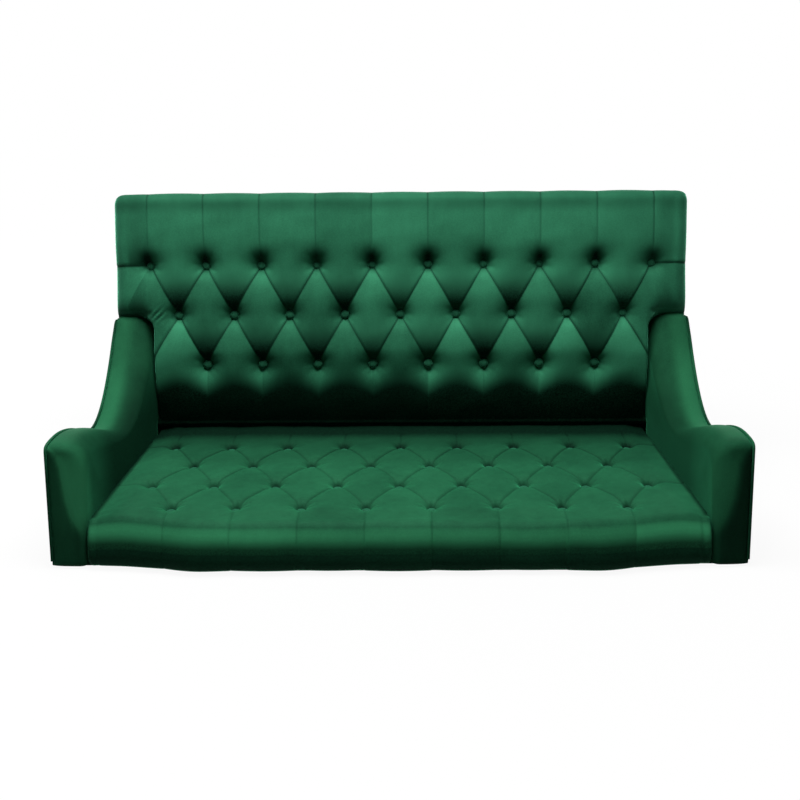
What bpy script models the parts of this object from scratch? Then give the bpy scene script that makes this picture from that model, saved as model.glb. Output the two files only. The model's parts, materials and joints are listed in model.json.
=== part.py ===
"""Diamond-tufted wingback loveseat: the upholstered body, ready for its screw-in legs.

Metres, +Z up.  The seat faces -Y, left is -X as seen from the front, and z = 0 is the
underside of the leg plates.  The back is modelled upright in its own frame, where y runs
to the rear from the bottom of the tufts and z runs up from the lowest row of buttons, and
an empty then leans it back.
"""

import math

import bmesh
import bpy
from mathutils import Vector
from mathutils.geometry import interpolate_bezier

# Overall size and the gap left between pieces that touch
OVERALL_WIDTH = 1.270
OVERALL_DEPTH = 0.720
CLEARANCE = 0.0003

# Leg plates and dust cover
PLATE_SIDE = 0.070
PLATE_THICKNESS = 0.0025
PLATE_INSET = 0.034
BOSS_RADIUS = 0.0065
BOSS_HEIGHT = 0.012
THREAD_RADIUS = 0.0034
DUST_COVER_THICKNESS = 0.001
DUST_COVER_INSET = 0.008

# Seat frame of beech rails
RAIL_HEIGHT = 0.045
FRONT_RAIL_DEPTH = 0.031
REAR_RAIL_DEPTH = 0.031
SIDE_RAIL_WIDTH = 0.038
STRETCHER_WIDTH = 0.040
STRETCHER_DROP = 0.010
CORNER_BLOCK_LEG = 0.095
WOOD_EDGE = 0.002

# Woven seat webbing and back webbing
STRAP_WIDTH = 0.050
STRAP_THICKNESS = 0.0015
STRAP_REST = 0.022
SEAT_STRAP_COUNT = 7
LONG_STRAP_COUNT = 3
BACK_STRAP_COUNT = 5

# Seat upholstery
BOW_DEPTH = 0.024
BOW_SWEEP = 0.160
DECK_THICKNESS = 0.001
SEAT_FOAM_THICKNESS = 0.0160
SEAT_FILL_THICKNESS = 0.0100
SEAT_PUFF = 0.014
SEAT_REAR_GAP = 0.012
SEAT_SIDE_GAP = 0.001
SEAT_SIDE_MARGIN = 0.072
SEAT_FRONT_MARGIN = 0.095
SEAT_FRONT_ROUND = 0.018
SEAT_SIDE_ROUND = 0.010
EDGE_PAD_THICKNESS = 0.012
COVER_THICKNESS = 0.0025

# Tufts: buttons stand in diamonds, and the rows lie at this pitch on seat and back.
# Columns count button spacings from the middle, up to the outermost button of a row.
ROW_SPACING = 0.1087
SEAT_ROW_LIMITS = (3.5, 4.0, 3.5, 4.0)
BACK_ROW_LIMITS = (3.5, 4.0, 4.5)
BUTTON_RADIUS = 0.0095
BUTTON_RISE = 0.004
PLEAT_SHARE = 0.55
MARGIN_PLEAT = 0.40
SEAT_EDGE_PUFF = 0.5
PLEAT_TOLERANCE = 0.01

# Back: heights along its slope from the lowest row of buttons
RECLINE = math.radians(14.0)
FIRST_ROW_HEIGHT = 0.242
BACK_TOP = 0.378
BACK_DROP = 0.140
BACK_SIDE_INSET = 0.007
BACK_SIDE_MARGIN = 0.079
BACK_PUFF = 0.026
BACK_FILL_THICKNESS = 0.0360
BACK_FOAM_THICKNESS = 0.0160
BACK_RAIL_DEPTH = 0.034
BACK_RAIL_HEIGHT = 0.042
BACK_TOP_ROUND = 0.030
BACK_SIDE_ROUND = 0.022
BACK_BOTTOM_ROUND = 0.012
LUMBAR_TUCK = 0.055
LUMBAR_FILL = 0.030
SIDE_BAND_SET_BACK = 0.027

# Arms: heights above the floor and reaches back from the foot of the arm's front.
# A handle is the share of the run to the next curve point over which the outline stays flat.
ARM_FRONT_THICKNESS = 0.068
ARM_REAR_THICKNESS = 0.088
ARM_FRONT_LEAN = 0.026
ARM_SHOULDER_HEIGHT = 0.191
ARM_CREST_RISE = 0.029
ARM_CREST_REACH = 0.074
ARM_DIP_HEIGHT = 0.168
ARM_DIP_REACH = 0.306
WING_HEIGHT = 0.340
CREST_HANDLE_SHARE = 0.44
DIP_FRONT_HANDLE_SHARE = 0.195
DIP_REAR_HANDLE_SHARE = 0.44
WING_HANDLE_SHARE = 0.317
WING_FALL_SHARE = 0.41
ARM_CROWN_INSET = 0.029
ARM_EDGE_DROP = 0.007
ARM_FRONT_ROUND = 0.010
ARM_TOP_ROUND = 0.032
ARM_PLY_THICKNESS = 0.018
ARM_PLY_INSET = 0.012
ARM_POST_DEPTH = 0.040
ARM_POST_HEIGHT = 0.165
ARM_BACK_GAP = 0.0008
OUTSIDE_PANEL_THICKNESS = 0.003
WELT_RADIUS = 0.0025

# Fasteners
BOLT_RADIUS = 0.004
BOLT_HEAD_RADIUS = 0.009
BOLT_HEAD_HEIGHT = 0.005
BOLT_REACH = 0.038
DOWEL_RADIUS = 0.005
DOWEL_HALF_LENGTH = 0.025
ROUND_SIDES = 12

# Stations of the tufted meshes, in columns and rows of buttons, and of the arm's curves
COLUMN_PARTS = 4
LATTICE_END = 17
EDGE_COLUMN = 5.0
SEAT_FRONT_STATIONS = [-0.7, -0.35]
SEAT_REAR_STATIONS = [3.5, 4.0]
BACK_LOW_STATIONS = [-1.2, -0.8, -0.4]
BACK_HIGH_STATIONS = [2.4, 2.8, 3.2]
EDGE_TURNS = (math.pi / 4, math.pi / 2)
SHOULDER_STEPS = 5
SWOOP_STEPS = 7
WING_STEPS = 9

# Heights of the seat layers, from the leg plates up
DUST_COVER_BOTTOM = PLATE_THICKNESS + CLEARANCE
RAIL_BOTTOM = DUST_COVER_BOTTOM + DUST_COVER_THICKNESS + CLEARANCE
RAIL_TOP = RAIL_BOTTOM + RAIL_HEIGHT
STRAP_LOW = RAIL_TOP + CLEARANCE
STRAP_HIGH = STRAP_LOW + STRAP_THICKNESS + 2 * CLEARANCE
DECK_BOTTOM = STRAP_HIGH + STRAP_THICKNESS + CLEARANCE
SEAT_FOAM_BOTTOM = DECK_BOTTOM + DECK_THICKNESS + CLEARANCE
SEAT_FOAM_TOP = SEAT_FOAM_BOTTOM + SEAT_FOAM_THICKNESS
SEAT_FILL_BOTTOM = SEAT_FOAM_TOP + CLEARANCE
SEAT_BUTTON_LEVEL = SEAT_FILL_BOTTOM + SEAT_FILL_THICKNESS

# Depths of the back layers, from the bottom of the tufts to the rear
BACK_FOAM_FRONT = BACK_FILL_THICKNESS + CLEARANCE
BACK_FOAM_REAR = BACK_FOAM_FRONT + BACK_FOAM_THICKNESS
BACK_STRAP_FRONT = BACK_FOAM_REAR + CLEARANCE
BACK_RAIL_FRONT = BACK_STRAP_FRONT + STRAP_THICKNESS + CLEARANCE
BACK_RAIL_REAR = BACK_RAIL_FRONT + BACK_RAIL_DEPTH
BACK_PANEL_FRONT = BACK_RAIL_REAR + CLEARANCE
BACK_PANEL_REAR = BACK_PANEL_FRONT + OUTSIDE_PANEL_THICKNESS
BACK_PANEL_TOP = BACK_TOP - 2 * COVER_THICKNESS
BACK_FRAME_TOP = BACK_TOP - COVER_THICKNESS - CLEARANCE
BACK_ORIGIN_Y = (
    OVERALL_DEPTH / 2 - BACK_PANEL_TOP * math.sin(RECLINE) - BACK_PANEL_REAR * math.cos(RECLINE)
)

# Sideways places, from the middle outwards
HALF_WIDTH = OVERALL_WIDTH / 2
OUTSIDE_PANEL_INNER = HALF_WIDTH - OUTSIDE_PANEL_THICKNESS
PLY_OUTER = OUTSIDE_PANEL_INNER - CLEARANCE
PLY_INNER = PLY_OUTER - ARM_PLY_THICKNESS
POST_OUTER = PLY_INNER - CLEARANCE
POST_INNER = POST_OUTER - SIDE_RAIL_WIDTH
RAIL_END = POST_INNER - CLEARANCE
BACK_HALF = HALF_WIDTH - BACK_SIDE_INSET
BACK_SIDE_WALL = BACK_HALF - POST_OUTER - 2 * CLEARANCE
WELT_CENTRE = HALF_WIDTH - WELT_RADIUS - CLEARANCE
ARM_COVER_OUTER = WELT_CENTRE - WELT_RADIUS - 2 * CLEARANCE
ARM_CROWN = HALF_WIDTH - ARM_CROWN_INSET

# Places along the depth
FRONT_Y = -OVERALL_DEPTH / 2
ARM_FRONT_Y = FRONT_Y + BOW_DEPTH
ARM_CREST_HEIGHT = ARM_SHOULDER_HEIGHT + ARM_CREST_RISE
ARM_LEAN_AT_RAIL = ARM_FRONT_LEAN * RAIL_HEIGHT / (ARM_SHOULDER_HEIGHT - RAIL_BOTTOM)
FRONT_RAIL_INSET = 2 * CLEARANCE + max(
    COVER_THICKNESS + EDGE_PAD_THICKNESS, ARM_LEAN_AT_RAIL + ARM_FRONT_ROUND
)
FRONT_RAIL_REAR_Y = ARM_FRONT_Y + FRONT_RAIL_INSET + FRONT_RAIL_DEPTH
ARM_REAR_DEPTH = SIDE_BAND_SET_BACK - ARM_BACK_GAP
ARM_PAD_BOTTOM = SEAT_FOAM_BOTTOM


def smooth(value):
    """Ease from 0 to 1 as value goes from 0 to 1."""
    value = min(max(value, 0.0), 1.0)
    return value * value * (3.0 - 2.0 * value)


def mix(low, high, share):
    """Return the value that lies share of the way from low to high."""
    return low + (high - low) * share


def spread(count, low, high):
    """Return the middles of equal bays between two places."""
    return [mix(low, high, (index + 0.5) / count) for index in range(count)]


def back_slope_at(depth, height):
    """Return the place along the back's slope where a given depth reaches a height."""
    return (height - FIRST_ROW_HEIGHT + depth * math.sin(RECLINE)) / math.cos(RECLINE)


def back_y(depth, height):
    """Return y where the leaning plane at a given depth reaches a height."""
    slope = back_slope_at(depth, height)
    return BACK_ORIGIN_Y + depth * math.cos(RECLINE) + slope * math.sin(RECLINE)


REAR_RAIL_REAR_Y = back_y(BACK_RAIL_REAR, RAIL_BOTTOM) - CLEARANCE
REAR_RAIL_FRONT_Y = REAR_RAIL_REAR_Y - REAR_RAIL_DEPTH
SEAT_REAR_Y = back_y(BACK_PANEL_FRONT, SEAT_FOAM_BOTTOM) - SEAT_REAR_GAP
ARM_REAR_FOOT_Y = back_y(ARM_REAR_DEPTH, ARM_PAD_BOTTOM)


def front_edge(x):
    """Return y of the seat's bowed front edge at x."""
    return FRONT_Y + BOW_DEPTH * smooth(1.0 + (abs(x) - BOW_END) / BOW_SWEEP)


def arm_inner(y):
    """Return x of the arm's padded inner face, which thickens towards the back."""
    share = (y - ARM_FRONT_Y) / (ARM_REAR_FOOT_Y - ARM_FRONT_Y)
    return HALF_WIDTH - mix(ARM_FRONT_THICKNESS, ARM_REAR_THICKNESS, share)


def seat_half(y):
    """Return half the seat's width between the arms at y."""
    return arm_inner(y) - SEAT_SIDE_GAP


def arm_front(height):
    """Return y of the arm's leaning front face at a height."""
    share = (height - RAIL_BOTTOM) / (ARM_SHOULDER_HEIGHT - RAIL_BOTTOM)
    return ARM_FRONT_Y + ARM_FRONT_LEAN * share


SEAT_FIRST_ROW_Y = FRONT_Y + SEAT_FRONT_MARGIN
SEAT_LAST_ROW = len(SEAT_ROW_LIMITS) - 1
SEAT_LAST_ROW_Y = SEAT_FIRST_ROW_Y + SEAT_LAST_ROW * ROW_SPACING
SEAT_BUTTONS_HALF = seat_half((SEAT_FIRST_ROW_Y + SEAT_LAST_ROW_Y) / 2) - SEAT_SIDE_MARGIN
SEAT_COLUMN = SEAT_BUTTONS_HALF / max(SEAT_ROW_LIMITS)
BACK_LAST_ROW = len(BACK_ROW_LIMITS) - 1
BACK_OUTER_COLUMN = max(BACK_ROW_LIMITS)
BACK_COLUMN = (BACK_HALF - BACK_SIDE_MARGIN) / BACK_OUTER_COLUMN
LATTICE = [step / COLUMN_PARTS for step in range(-LATTICE_END, LATTICE_END + 1)]
BOW_END = LATTICE[-1] * SEAT_COLUMN


def make_material(name, colour, roughness, metallic=0.0):
    """Create a plain Principled material."""
    material = bpy.data.materials.new(name)
    material.use_nodes = True
    shader = material.node_tree.nodes["Principled BSDF"]
    shader.inputs["Base Color"].default_value = (*colour, 1.0)
    shader.inputs["Roughness"].default_value = roughness
    shader.inputs["Metallic"].default_value = metallic
    return material


def add_object(name, mesh_builder, material, parent=None):
    """Turn a bmesh into a named object with one material."""
    bmesh.ops.remove_doubles(mesh_builder, verts=mesh_builder.verts, dist=1e-6)
    bmesh.ops.recalc_face_normals(mesh_builder, faces=mesh_builder.faces)
    mesh = bpy.data.meshes.new(name)
    mesh_builder.to_mesh(mesh)
    mesh_builder.free()
    if material is not None:
        mesh.materials.append(material)
    piece = bpy.data.objects.new(name, mesh)
    bpy.context.scene.collection.objects.link(piece)
    piece.parent = parent
    return piece


def prism(outline, axis, low, high):
    """Extrude an outline along an axis.

    The outline's points are (y, z) along x, (x, z) along y and (x, y) along z.
    """
    places = {
        "x": lambda a, b, along: (along, a, b),
        "y": lambda a, b, along: (a, along, b),
        "z": lambda a, b, along: (a, b, along),
    }
    place = places[axis]
    builder = bmesh.new()
    base = builder.faces.new([builder.verts.new(place(a, b, low)) for a, b in outline])
    moved = bmesh.ops.extrude_face_region(builder, geom=[base])["geom"]
    corners = [item for item in moved if isinstance(item, bmesh.types.BMVert)]
    bmesh.ops.translate(builder, verts=corners, vec=Vector(place(0.0, 0.0, high - low)))
    return builder


def rectangle(left, right, low, high):
    """Return the four corners of a rectangle."""
    return [(left, low), (right, low), (right, high), (left, high)]


def lathe(profile, sides=ROUND_SIDES):
    """Turn a profile of (radius, z) points about z and close both ends."""
    builder = bmesh.new()
    rings = []
    for radius, z in profile:
        angles = [2.0 * math.pi * step / sides for step in range(sides)]
        ring = [builder.verts.new((radius * math.cos(a), radius * math.sin(a), z)) for a in angles]
        rings.append(ring)
    for lower, upper in zip(rings, rings[1:]):
        for step in range(sides):
            after = (step + 1) % sides
            builder.faces.new((lower[step], lower[after], upper[after], upper[step]))
    builder.faces.new(list(reversed(rings[0])))
    builder.faces.new(rings[-1])
    return builder


def ease_edges(piece, width=WOOD_EDGE):
    """Take the sharpness off a wooden piece's edges."""
    bevel = piece.modifiers.new("eased_edges", "BEVEL")
    bevel.width = width
    bevel.segments = 1
    bevel.limit_method = "ANGLE"
    bevel.angle_limit = math.radians(30.0)


def combine(piece, other, operation):
    """Join a hidden helper to a piece, or cut it away."""
    other.hide_render = True
    other.display_type = "WIRE"
    boolean = piece.modifiers.new(other.name, "BOOLEAN")
    boolean.object = other
    boolean.operation = operation
    boolean.solver = "EXACT"


def round_cutter(name, profile, location, turn=(0.0, 0.0, 0.0), parent=None):
    """Create a turned helper at a place."""
    helper = add_object(name, lathe(profile), None, parent)
    helper.location = location
    helper.rotation_euler = turn
    return helper


def drill(pieces, radius, low, high, location, turn=(0.0, 0.0, 0.0), parent=None):
    """Cut one round hole through several pieces."""
    name = "hole_in_" + pieces[0].name
    helper = round_cutter(name, [(radius, low), (radius, high)], location, turn, parent)
    for piece in pieces:
        combine(piece, helper, "DIFFERENCE")


def pillow(place):
    """Return 0 on a pleat line, where place is whole, and 1 half-way between two."""
    away = 2.0 * abs(place - round(place))
    return 1.0 - (1.0 - away) ** 2


def quilt(column, row, last_row):
    """Return how far the quilting stands out, from 0 at a button to 1 on a full puff.

    column counts button spacings from the middle and row counts rows of buttons.  Between
    the rows the pleats run in diamonds.  Past the outer rows they run straight on and fade.
    """
    inside = min(max(row, 0.0), last_row)
    one = pillow(column - 0.5 + inside / 2)
    other = pillow(column - 0.5 - inside / 2)
    diamond = PLEAT_SHARE * (one + other) / 2 + (1.0 - PLEAT_SHARE) * one * other
    straight = 1.0 - MARGIN_PLEAT * (1.0 - one)
    return mix(diamond, straight, smooth(abs(row - inside)))


def on_pleat(column, row, last_row, direction):
    """Tell whether a pleat of the given direction passes through a place between the rows."""
    place = column - 0.5 + direction * row / 2
    return 0.0 <= row <= last_row and abs(place - round(place)) < PLEAT_TOLERANCE


def tufted_lid(grid, labels, last_row, buttons, edge, rim, inner, inner_level, place, apron=0.0):
    """Build a tufted cover: a quilted face, rolled edges, a skirt and a flat lining.

    grid holds rows of (u, v, height) points, labels the (column, row) of each in button
    spacings, and buttons the set of labels that carry one.  edge(su, sv), rim(su, sv) and
    inner(su, sv) give the edge rounding, the skirt's level and the wall on each side, where
    su and sv are -1, 0 or 1, and place turns (u, v, height) into a point of the object.  An
    apron lets the skirt's front hem down by that much.
    """
    builder = bmesh.new()
    rows = len(grid)
    columns = len(grid[0])
    verts = [[builder.verts.new(place(*point)) for point in line] for line in grid]
    for j in range(rows - 1):
        for i in range(columns - 1):
            corners = (verts[j][i], verts[j][i + 1], verts[j + 1][i + 1], verts[j + 1][i])
            falling = on_pleat(*labels[j][i + 1], last_row, 1)
            rising = on_pleat(*labels[j][i], last_row, -1)
            ridge = grid[j][i][2] + grid[j + 1][i + 1][2] > grid[j][i + 1][2] + grid[j + 1][i][2]
            if rising or (ridge and not falling):
                builder.faces.new((corners[0], corners[1], corners[2]))
                builder.faces.new((corners[0], corners[2], corners[3]))
            else:
                builder.faces.new((corners[0], corners[1], corners[3]))
                builder.faces.new((corners[1], corners[2], corners[3]))

    around = [(i, 0) for i in range(columns - 1)]
    around += [(columns - 1, j) for j in range(rows - 1)]
    around += [(i, rows - 1) for i in range(columns - 1, 0, -1)]
    around += [(0, j) for j in range(rows - 1, 0, -1)]
    loops = [[verts[j][i] for i, j in around]]
    outer = []
    sides = []
    for i, j in around:
        sides.append(((i == columns - 1) - (i == 0), (j == rows - 1) - (j == 0)))
    for turn in EDGE_TURNS:
        outer = []
        for (i, j), (su, sv) in zip(around, sides):
            u, v, height = grid[j][i]
            round_u, round_v, depth = edge(su, sv)
            fall = depth * (1.0 - math.cos(turn))
            reach = math.sin(turn)
            outer.append((u + su * round_u * reach, v + sv * round_v * reach, height - fall))
        loops.append([builder.verts.new(place(*point)) for point in outer])
    hem = []
    lining_hem = []
    lining = []
    for (u, v, _), (su, sv) in zip(outer, sides):
        wall_u, wall_v = inner(su, sv)
        level = rim(su, sv)
        hem.append((u, v, level))
        lining_hem.append((u - su * wall_u, v - sv * wall_v, level))
        lining.append((u - su * wall_u, v - sv * wall_v, inner_level))
    hem_loop = [builder.verts.new(place(*point)) for point in hem]
    loops.append(hem_loop)
    for loop in (lining_hem, lining):
        loops.append([builder.verts.new(place(*point)) for point in loop])
    front_hem = []
    for upper, lower in zip(loops, loops[1:]):
        for step in range(len(upper)):
            after = (step + 1) % len(upper)
            face = builder.faces.new((upper[after], upper[step], lower[step], lower[after]))
            if upper is hem_loop and sides[step][1] < 0 and sides[after][1] < 0:
                front_hem.append(face)
    builder.faces.new(loops[-1])
    if apron:
        let_down = bmesh.ops.extrude_face_region(builder, geom=front_hem)["geom"]
        low = [item for item in let_down if isinstance(item, bmesh.types.BMVert)]
        bmesh.ops.translate(builder, verts=low, vec=(0.0, 0.0, -apron))
        bmesh.ops.delete(builder, geom=front_hem, context="FACES")
    bmesh.ops.recalc_face_normals(builder, faces=builder.faces)

    tufts = [
        verts[j][i] for j in range(rows) for i in range(columns) if labels[j][i] in buttons
    ]
    add_buttons(builder, tufts)
    return builder


def add_buttons(builder, tufts):
    """Widen each tuft's point into a ring and raise a covered button from it."""
    cut = bmesh.ops.bevel(
        builder,
        geom=tufts,
        offset=BUTTON_RADIUS,
        offset_type="OFFSET",
        segments=1,
        affect="VERTICES",
    )
    rings = [face for face in cut["faces"] if len(face.verts) > 4]
    for ring in rings:
        outward = ring.normal.copy()
        centre = ring.calc_center_median()
        for vert in ring.verts:
            vert.co -= outward * (vert.co - centre).dot(outward)
    bmesh.ops.poke(builder, faces=rings, offset=BUTTON_RISE, center_mode="MEAN")


def bow_line(inset, half):
    """Return points along the bowed front, at the same places for every layer of the seat."""
    places = [column * SEAT_COLUMN for column in LATTICE]
    places = [-half] + [x for x in places if abs(x) < half] + [half]
    return [(x, front_edge(x) + inset) for x in places]


def seat_outline(inset, rear_inset):
    """Return the seat's outline seen from above, drawn in from its bowed front and sides."""
    half = seat_half(ARM_FRONT_Y) - inset
    rear_y = SEAT_REAR_Y - rear_inset
    rear_half = seat_half(rear_y) - inset
    return bow_line(inset, half) + [(rear_half, rear_y), (-rear_half, rear_y)]


def build_seat_frame(wood):
    """Rails and centre stretcher of the seat, with eased edges."""
    rails = {}
    front_outline = bow_line(FRONT_RAIL_INSET, POST_OUTER)
    front_outline += [(POST_OUTER, FRONT_RAIL_REAR_Y), (-POST_OUTER, FRONT_RAIL_REAR_Y)]
    front = prism(front_outline, "z", RAIL_BOTTOM, RAIL_TOP)
    rails["front"] = add_object("seat_front_rail", front, wood)
    rear_outline = rectangle(REAR_RAIL_FRONT_Y, REAR_RAIL_REAR_Y, RAIL_BOTTOM, RAIL_TOP)
    rear = prism(rear_outline, "x", -RAIL_END, RAIL_END)
    rails["rear"] = add_object("seat_rear_rail", rear, wood)
    side_front = FRONT_RAIL_REAR_Y + CLEARANCE
    post_face = BACK_RAIL_FRONT - CLEARANCE
    side_outline = [
        (side_front, RAIL_BOTTOM),
        (back_y(post_face, RAIL_BOTTOM), RAIL_BOTTOM),
        (back_y(post_face, RAIL_TOP), RAIL_TOP),
        (side_front, RAIL_TOP),
    ]
    for side, label in ((-1, "left"), (1, "right")):
        span = sorted((side * POST_INNER, side * POST_OUTER))
        rails[label] = add_object(f"{label}_side_rail", prism(side_outline, "x", *span), wood)
    low_top = RAIL_TOP - STRETCHER_DROP
    stretcher_outline = rectangle(
        side_front, REAR_RAIL_FRONT_Y - CLEARANCE, RAIL_BOTTOM, low_top
    )
    stretcher = prism(stretcher_outline, "x", -STRETCHER_WIDTH / 2, STRETCHER_WIDTH / 2)
    rails["stretcher"] = add_object("seat_centre_stretcher", stretcher, wood)
    for rail in rails.values():
        ease_edges(rail)
    return rails


def corner_places():
    """Return label, signs and inner frame corner for the four corners of the seat frame."""
    places = []
    for along, y, end in ((1, FRONT_RAIL_REAR_Y, "front"), (-1, REAR_RAIL_FRONT_Y, "rear")):
        for side, label in ((-1, "left"), (1, "right")):
            corner = (side * (POST_INNER - CLEARANCE), y + along * CLEARANCE)
            places.append((f"{end}_{label}", -side, along, corner))
    return places


def build_corners(wood, steel, cloth):
    """Corner blocks, leg plates with threaded bosses and the dust cover they hold."""
    dust_half = POST_OUTER - DUST_COVER_INSET
    dust_outline = bow_line(FRONT_RAIL_INSET, dust_half)
    dust_outline += [(dust_half, REAR_RAIL_REAR_Y), (-dust_half, REAR_RAIL_REAR_Y)]
    dust = add_object(
        "dust_cover",
        prism(dust_outline, "z", DUST_COVER_BOTTOM, DUST_COVER_BOTTOM + DUST_COVER_THICKNESS),
        cloth,
    )
    hole_radius = BOSS_RADIUS + CLEARANCE
    block_top = RAIL_TOP - STRETCHER_DROP
    for label, across, along, (x, y) in corner_places():
        outline = [
            (x, y),
            (x + across * CORNER_BLOCK_LEG, y),
            (x, y + along * CORNER_BLOCK_LEG),
        ]
        block = add_object(
            f"{label}_corner_block", prism(outline, "z", RAIL_BOTTOM, block_top), wood
        )
        ease_edges(block)
        centre = (x + across * PLATE_INSET, y + along * PLATE_INSET, 0.0)
        hole_top = PLATE_THICKNESS + BOSS_HEIGHT + CLEARANCE
        drill([block, dust], hole_radius, -CLEARANCE, hole_top, centre)
        half = PLATE_SIDE / 2
        plate = add_object(
            f"{label}_leg_plate",
            prism(rectangle(-half, half, -half, half), "z", 0.0, PLATE_THICKNESS),
            steel,
        )
        plate.location = centre
        boss_profile = [
            (BOSS_RADIUS, PLATE_THICKNESS / 2),
            (BOSS_RADIUS, PLATE_THICKNESS + BOSS_HEIGHT),
        ]
        boss = round_cutter(f"{label}_boss", boss_profile, centre)
        combine(plate, boss, "UNION")
        drill([plate], THREAD_RADIUS, -PLATE_THICKNESS, 2 * BOSS_HEIGHT, centre)


def woven_strap(start, rest_start, crossings, rest_end, end, first_high):
    """Return a strap's side outline: flat on its rails and over and under its crossings."""
    half = STRAP_WIDTH / 2 + STRAP_THICKNESS
    route = [(start, STRAP_LOW), (rest_start, STRAP_LOW)]
    high = first_high
    for crossing in crossings:
        level = STRAP_HIGH if high else STRAP_LOW
        route += [(crossing - half, level), (crossing + half, level)]
        high = not high
    route += [(rest_end, STRAP_LOW), (end, STRAP_LOW)]
    upper = [(along, level + STRAP_THICKNESS) for along, level in reversed(route)]
    return route + upper


def build_seat_webbing(webbing):
    """Front-to-back straps interlaced with lengthwise ones on top of the seat frame."""
    inner_front = FRONT_RAIL_REAR_Y
    inner_rear = REAR_RAIL_FRONT_Y
    across = spread(SEAT_STRAP_COUNT, -RAIL_END, RAIL_END)
    along = spread(LONG_STRAP_COUNT, inner_front, inner_rear)
    half = STRAP_WIDTH / 2
    for number, x in enumerate(across):
        outline = woven_strap(
            inner_front - STRAP_REST, inner_front, along, inner_rear, inner_rear + STRAP_REST,
            number % 2 == 0,
        )
        strap = prism(outline, "x", x - half, x + half)
        add_object(f"seat_strap_{number + 1}", strap, webbing)
    for number, y in enumerate(along):
        outline = woven_strap(
            -POST_INNER - STRAP_REST, -POST_INNER, across, POST_INNER, POST_INNER + STRAP_REST,
            number % 2 == 1,
        )
        strap = prism(outline, "y", y - half, y + half)
        add_object(f"seat_long_strap_{number + 1}", strap, webbing)


def button_labels(row_limits):
    """Return the (column, row) of every button, one column apart out to each row's limit."""
    buttons = set()
    for row, limit in enumerate(row_limits):
        for step in range(round(2 * limit) + 1):
            buttons.add((step - limit, row))
    return buttons


def row_stations(before, last_row, after):
    """Return the rows of a tufted mesh: half rows between the buttons, and those past them."""
    return before + [step / 2 for step in range(2 * last_row + 1)] + after


def build_seat_cover(velvet):
    """Tufted seat cover with its fibre filling, rolled over the bowed front edge."""
    rear_face = SEAT_REAR_Y - SEAT_SIDE_ROUND
    columns = [-EDGE_COLUMN] + LATTICE + [EDGE_COLUMN]
    rows = row_stations(SEAT_FRONT_STATIONS, SEAT_LAST_ROW, SEAT_REAR_STATIONS)
    grid = []
    labels = []
    for row in rows:
        line = []
        for column in columns:
            x = column * SEAT_COLUMN
            if row < 0.0:
                front = front_edge(x) + SEAT_FRONT_ROUND
                y = mix(SEAT_FIRST_ROW_Y, front, row / rows[0])
            elif row > SEAT_LAST_ROW:
                share = (row - SEAT_LAST_ROW) / (rows[-1] - SEAT_LAST_ROW)
                y = mix(SEAT_LAST_ROW_Y, rear_face, share)
            else:
                y = SEAT_FIRST_ROW_Y + row * ROW_SPACING
            if abs(column) == EDGE_COLUMN:
                x = math.copysign(seat_half(y) - SEAT_SIDE_ROUND, column)
                if row < 0.0:
                    y = mix(SEAT_FIRST_ROW_Y, front_edge(x) + SEAT_FRONT_ROUND, row / rows[0])
            puff = SEAT_PUFF * quilt(x / SEAT_COLUMN, row, SEAT_LAST_ROW)
            if abs(column) == EDGE_COLUMN or row == rows[-1]:
                puff *= SEAT_EDGE_PUFF
            line.append((x, y, SEAT_BUTTON_LEVEL + puff))
        grid.append(line)
        labels.append([(column, row) for column in columns])

    def edge(su, sv):
        rolled = SEAT_FRONT_ROUND if sv < 0 else SEAT_SIDE_ROUND
        return SEAT_SIDE_ROUND, rolled, rolled

    def rim(su, sv):
        return SEAT_FOAM_BOTTOM

    def inner(su, sv):
        return COVER_THICKNESS, COVER_THICKNESS

    cover = tufted_lid(
        grid, labels, SEAT_LAST_ROW, button_labels(SEAT_ROW_LIMITS), edge, rim, inner,
        SEAT_FILL_BOTTOM, lambda u, v, height: (u, v, height), SEAT_FOAM_BOTTOM - RAIL_BOTTOM,
    )
    add_object("seat_tufted_cover", cover, velvet)


def build_seat(velvet, foam, cloth):
    """Deck cloth, foam, front edge pad and tufted cover of the seat."""
    lining_gap = COVER_THICKNESS + CLEARANCE
    deck_inset = FRONT_RAIL_INSET + STRAP_REST / 2
    deck = prism(
        seat_outline(deck_inset, deck_inset), "z", DECK_BOTTOM, DECK_BOTTOM + DECK_THICKNESS
    )
    add_object("seat_deck_cloth", deck, cloth)
    pad_half = seat_half(FRONT_RAIL_REAR_Y) - lining_gap
    pad = bow_line(lining_gap, pad_half)
    pad += reversed(bow_line(FRONT_RAIL_INSET - CLEARANCE, pad_half))
    add_object("seat_front_edge_pad", prism(pad, "z", RAIL_BOTTOM, SEAT_FOAM_TOP), foam)
    foam_outline = seat_outline(FRONT_RAIL_INSET, lining_gap)
    slab = prism(foam_outline, "z", SEAT_FOAM_BOTTOM, SEAT_FOAM_TOP)
    add_object("seat_foam", slab, foam)
    build_seat_cover(velvet)


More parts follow.
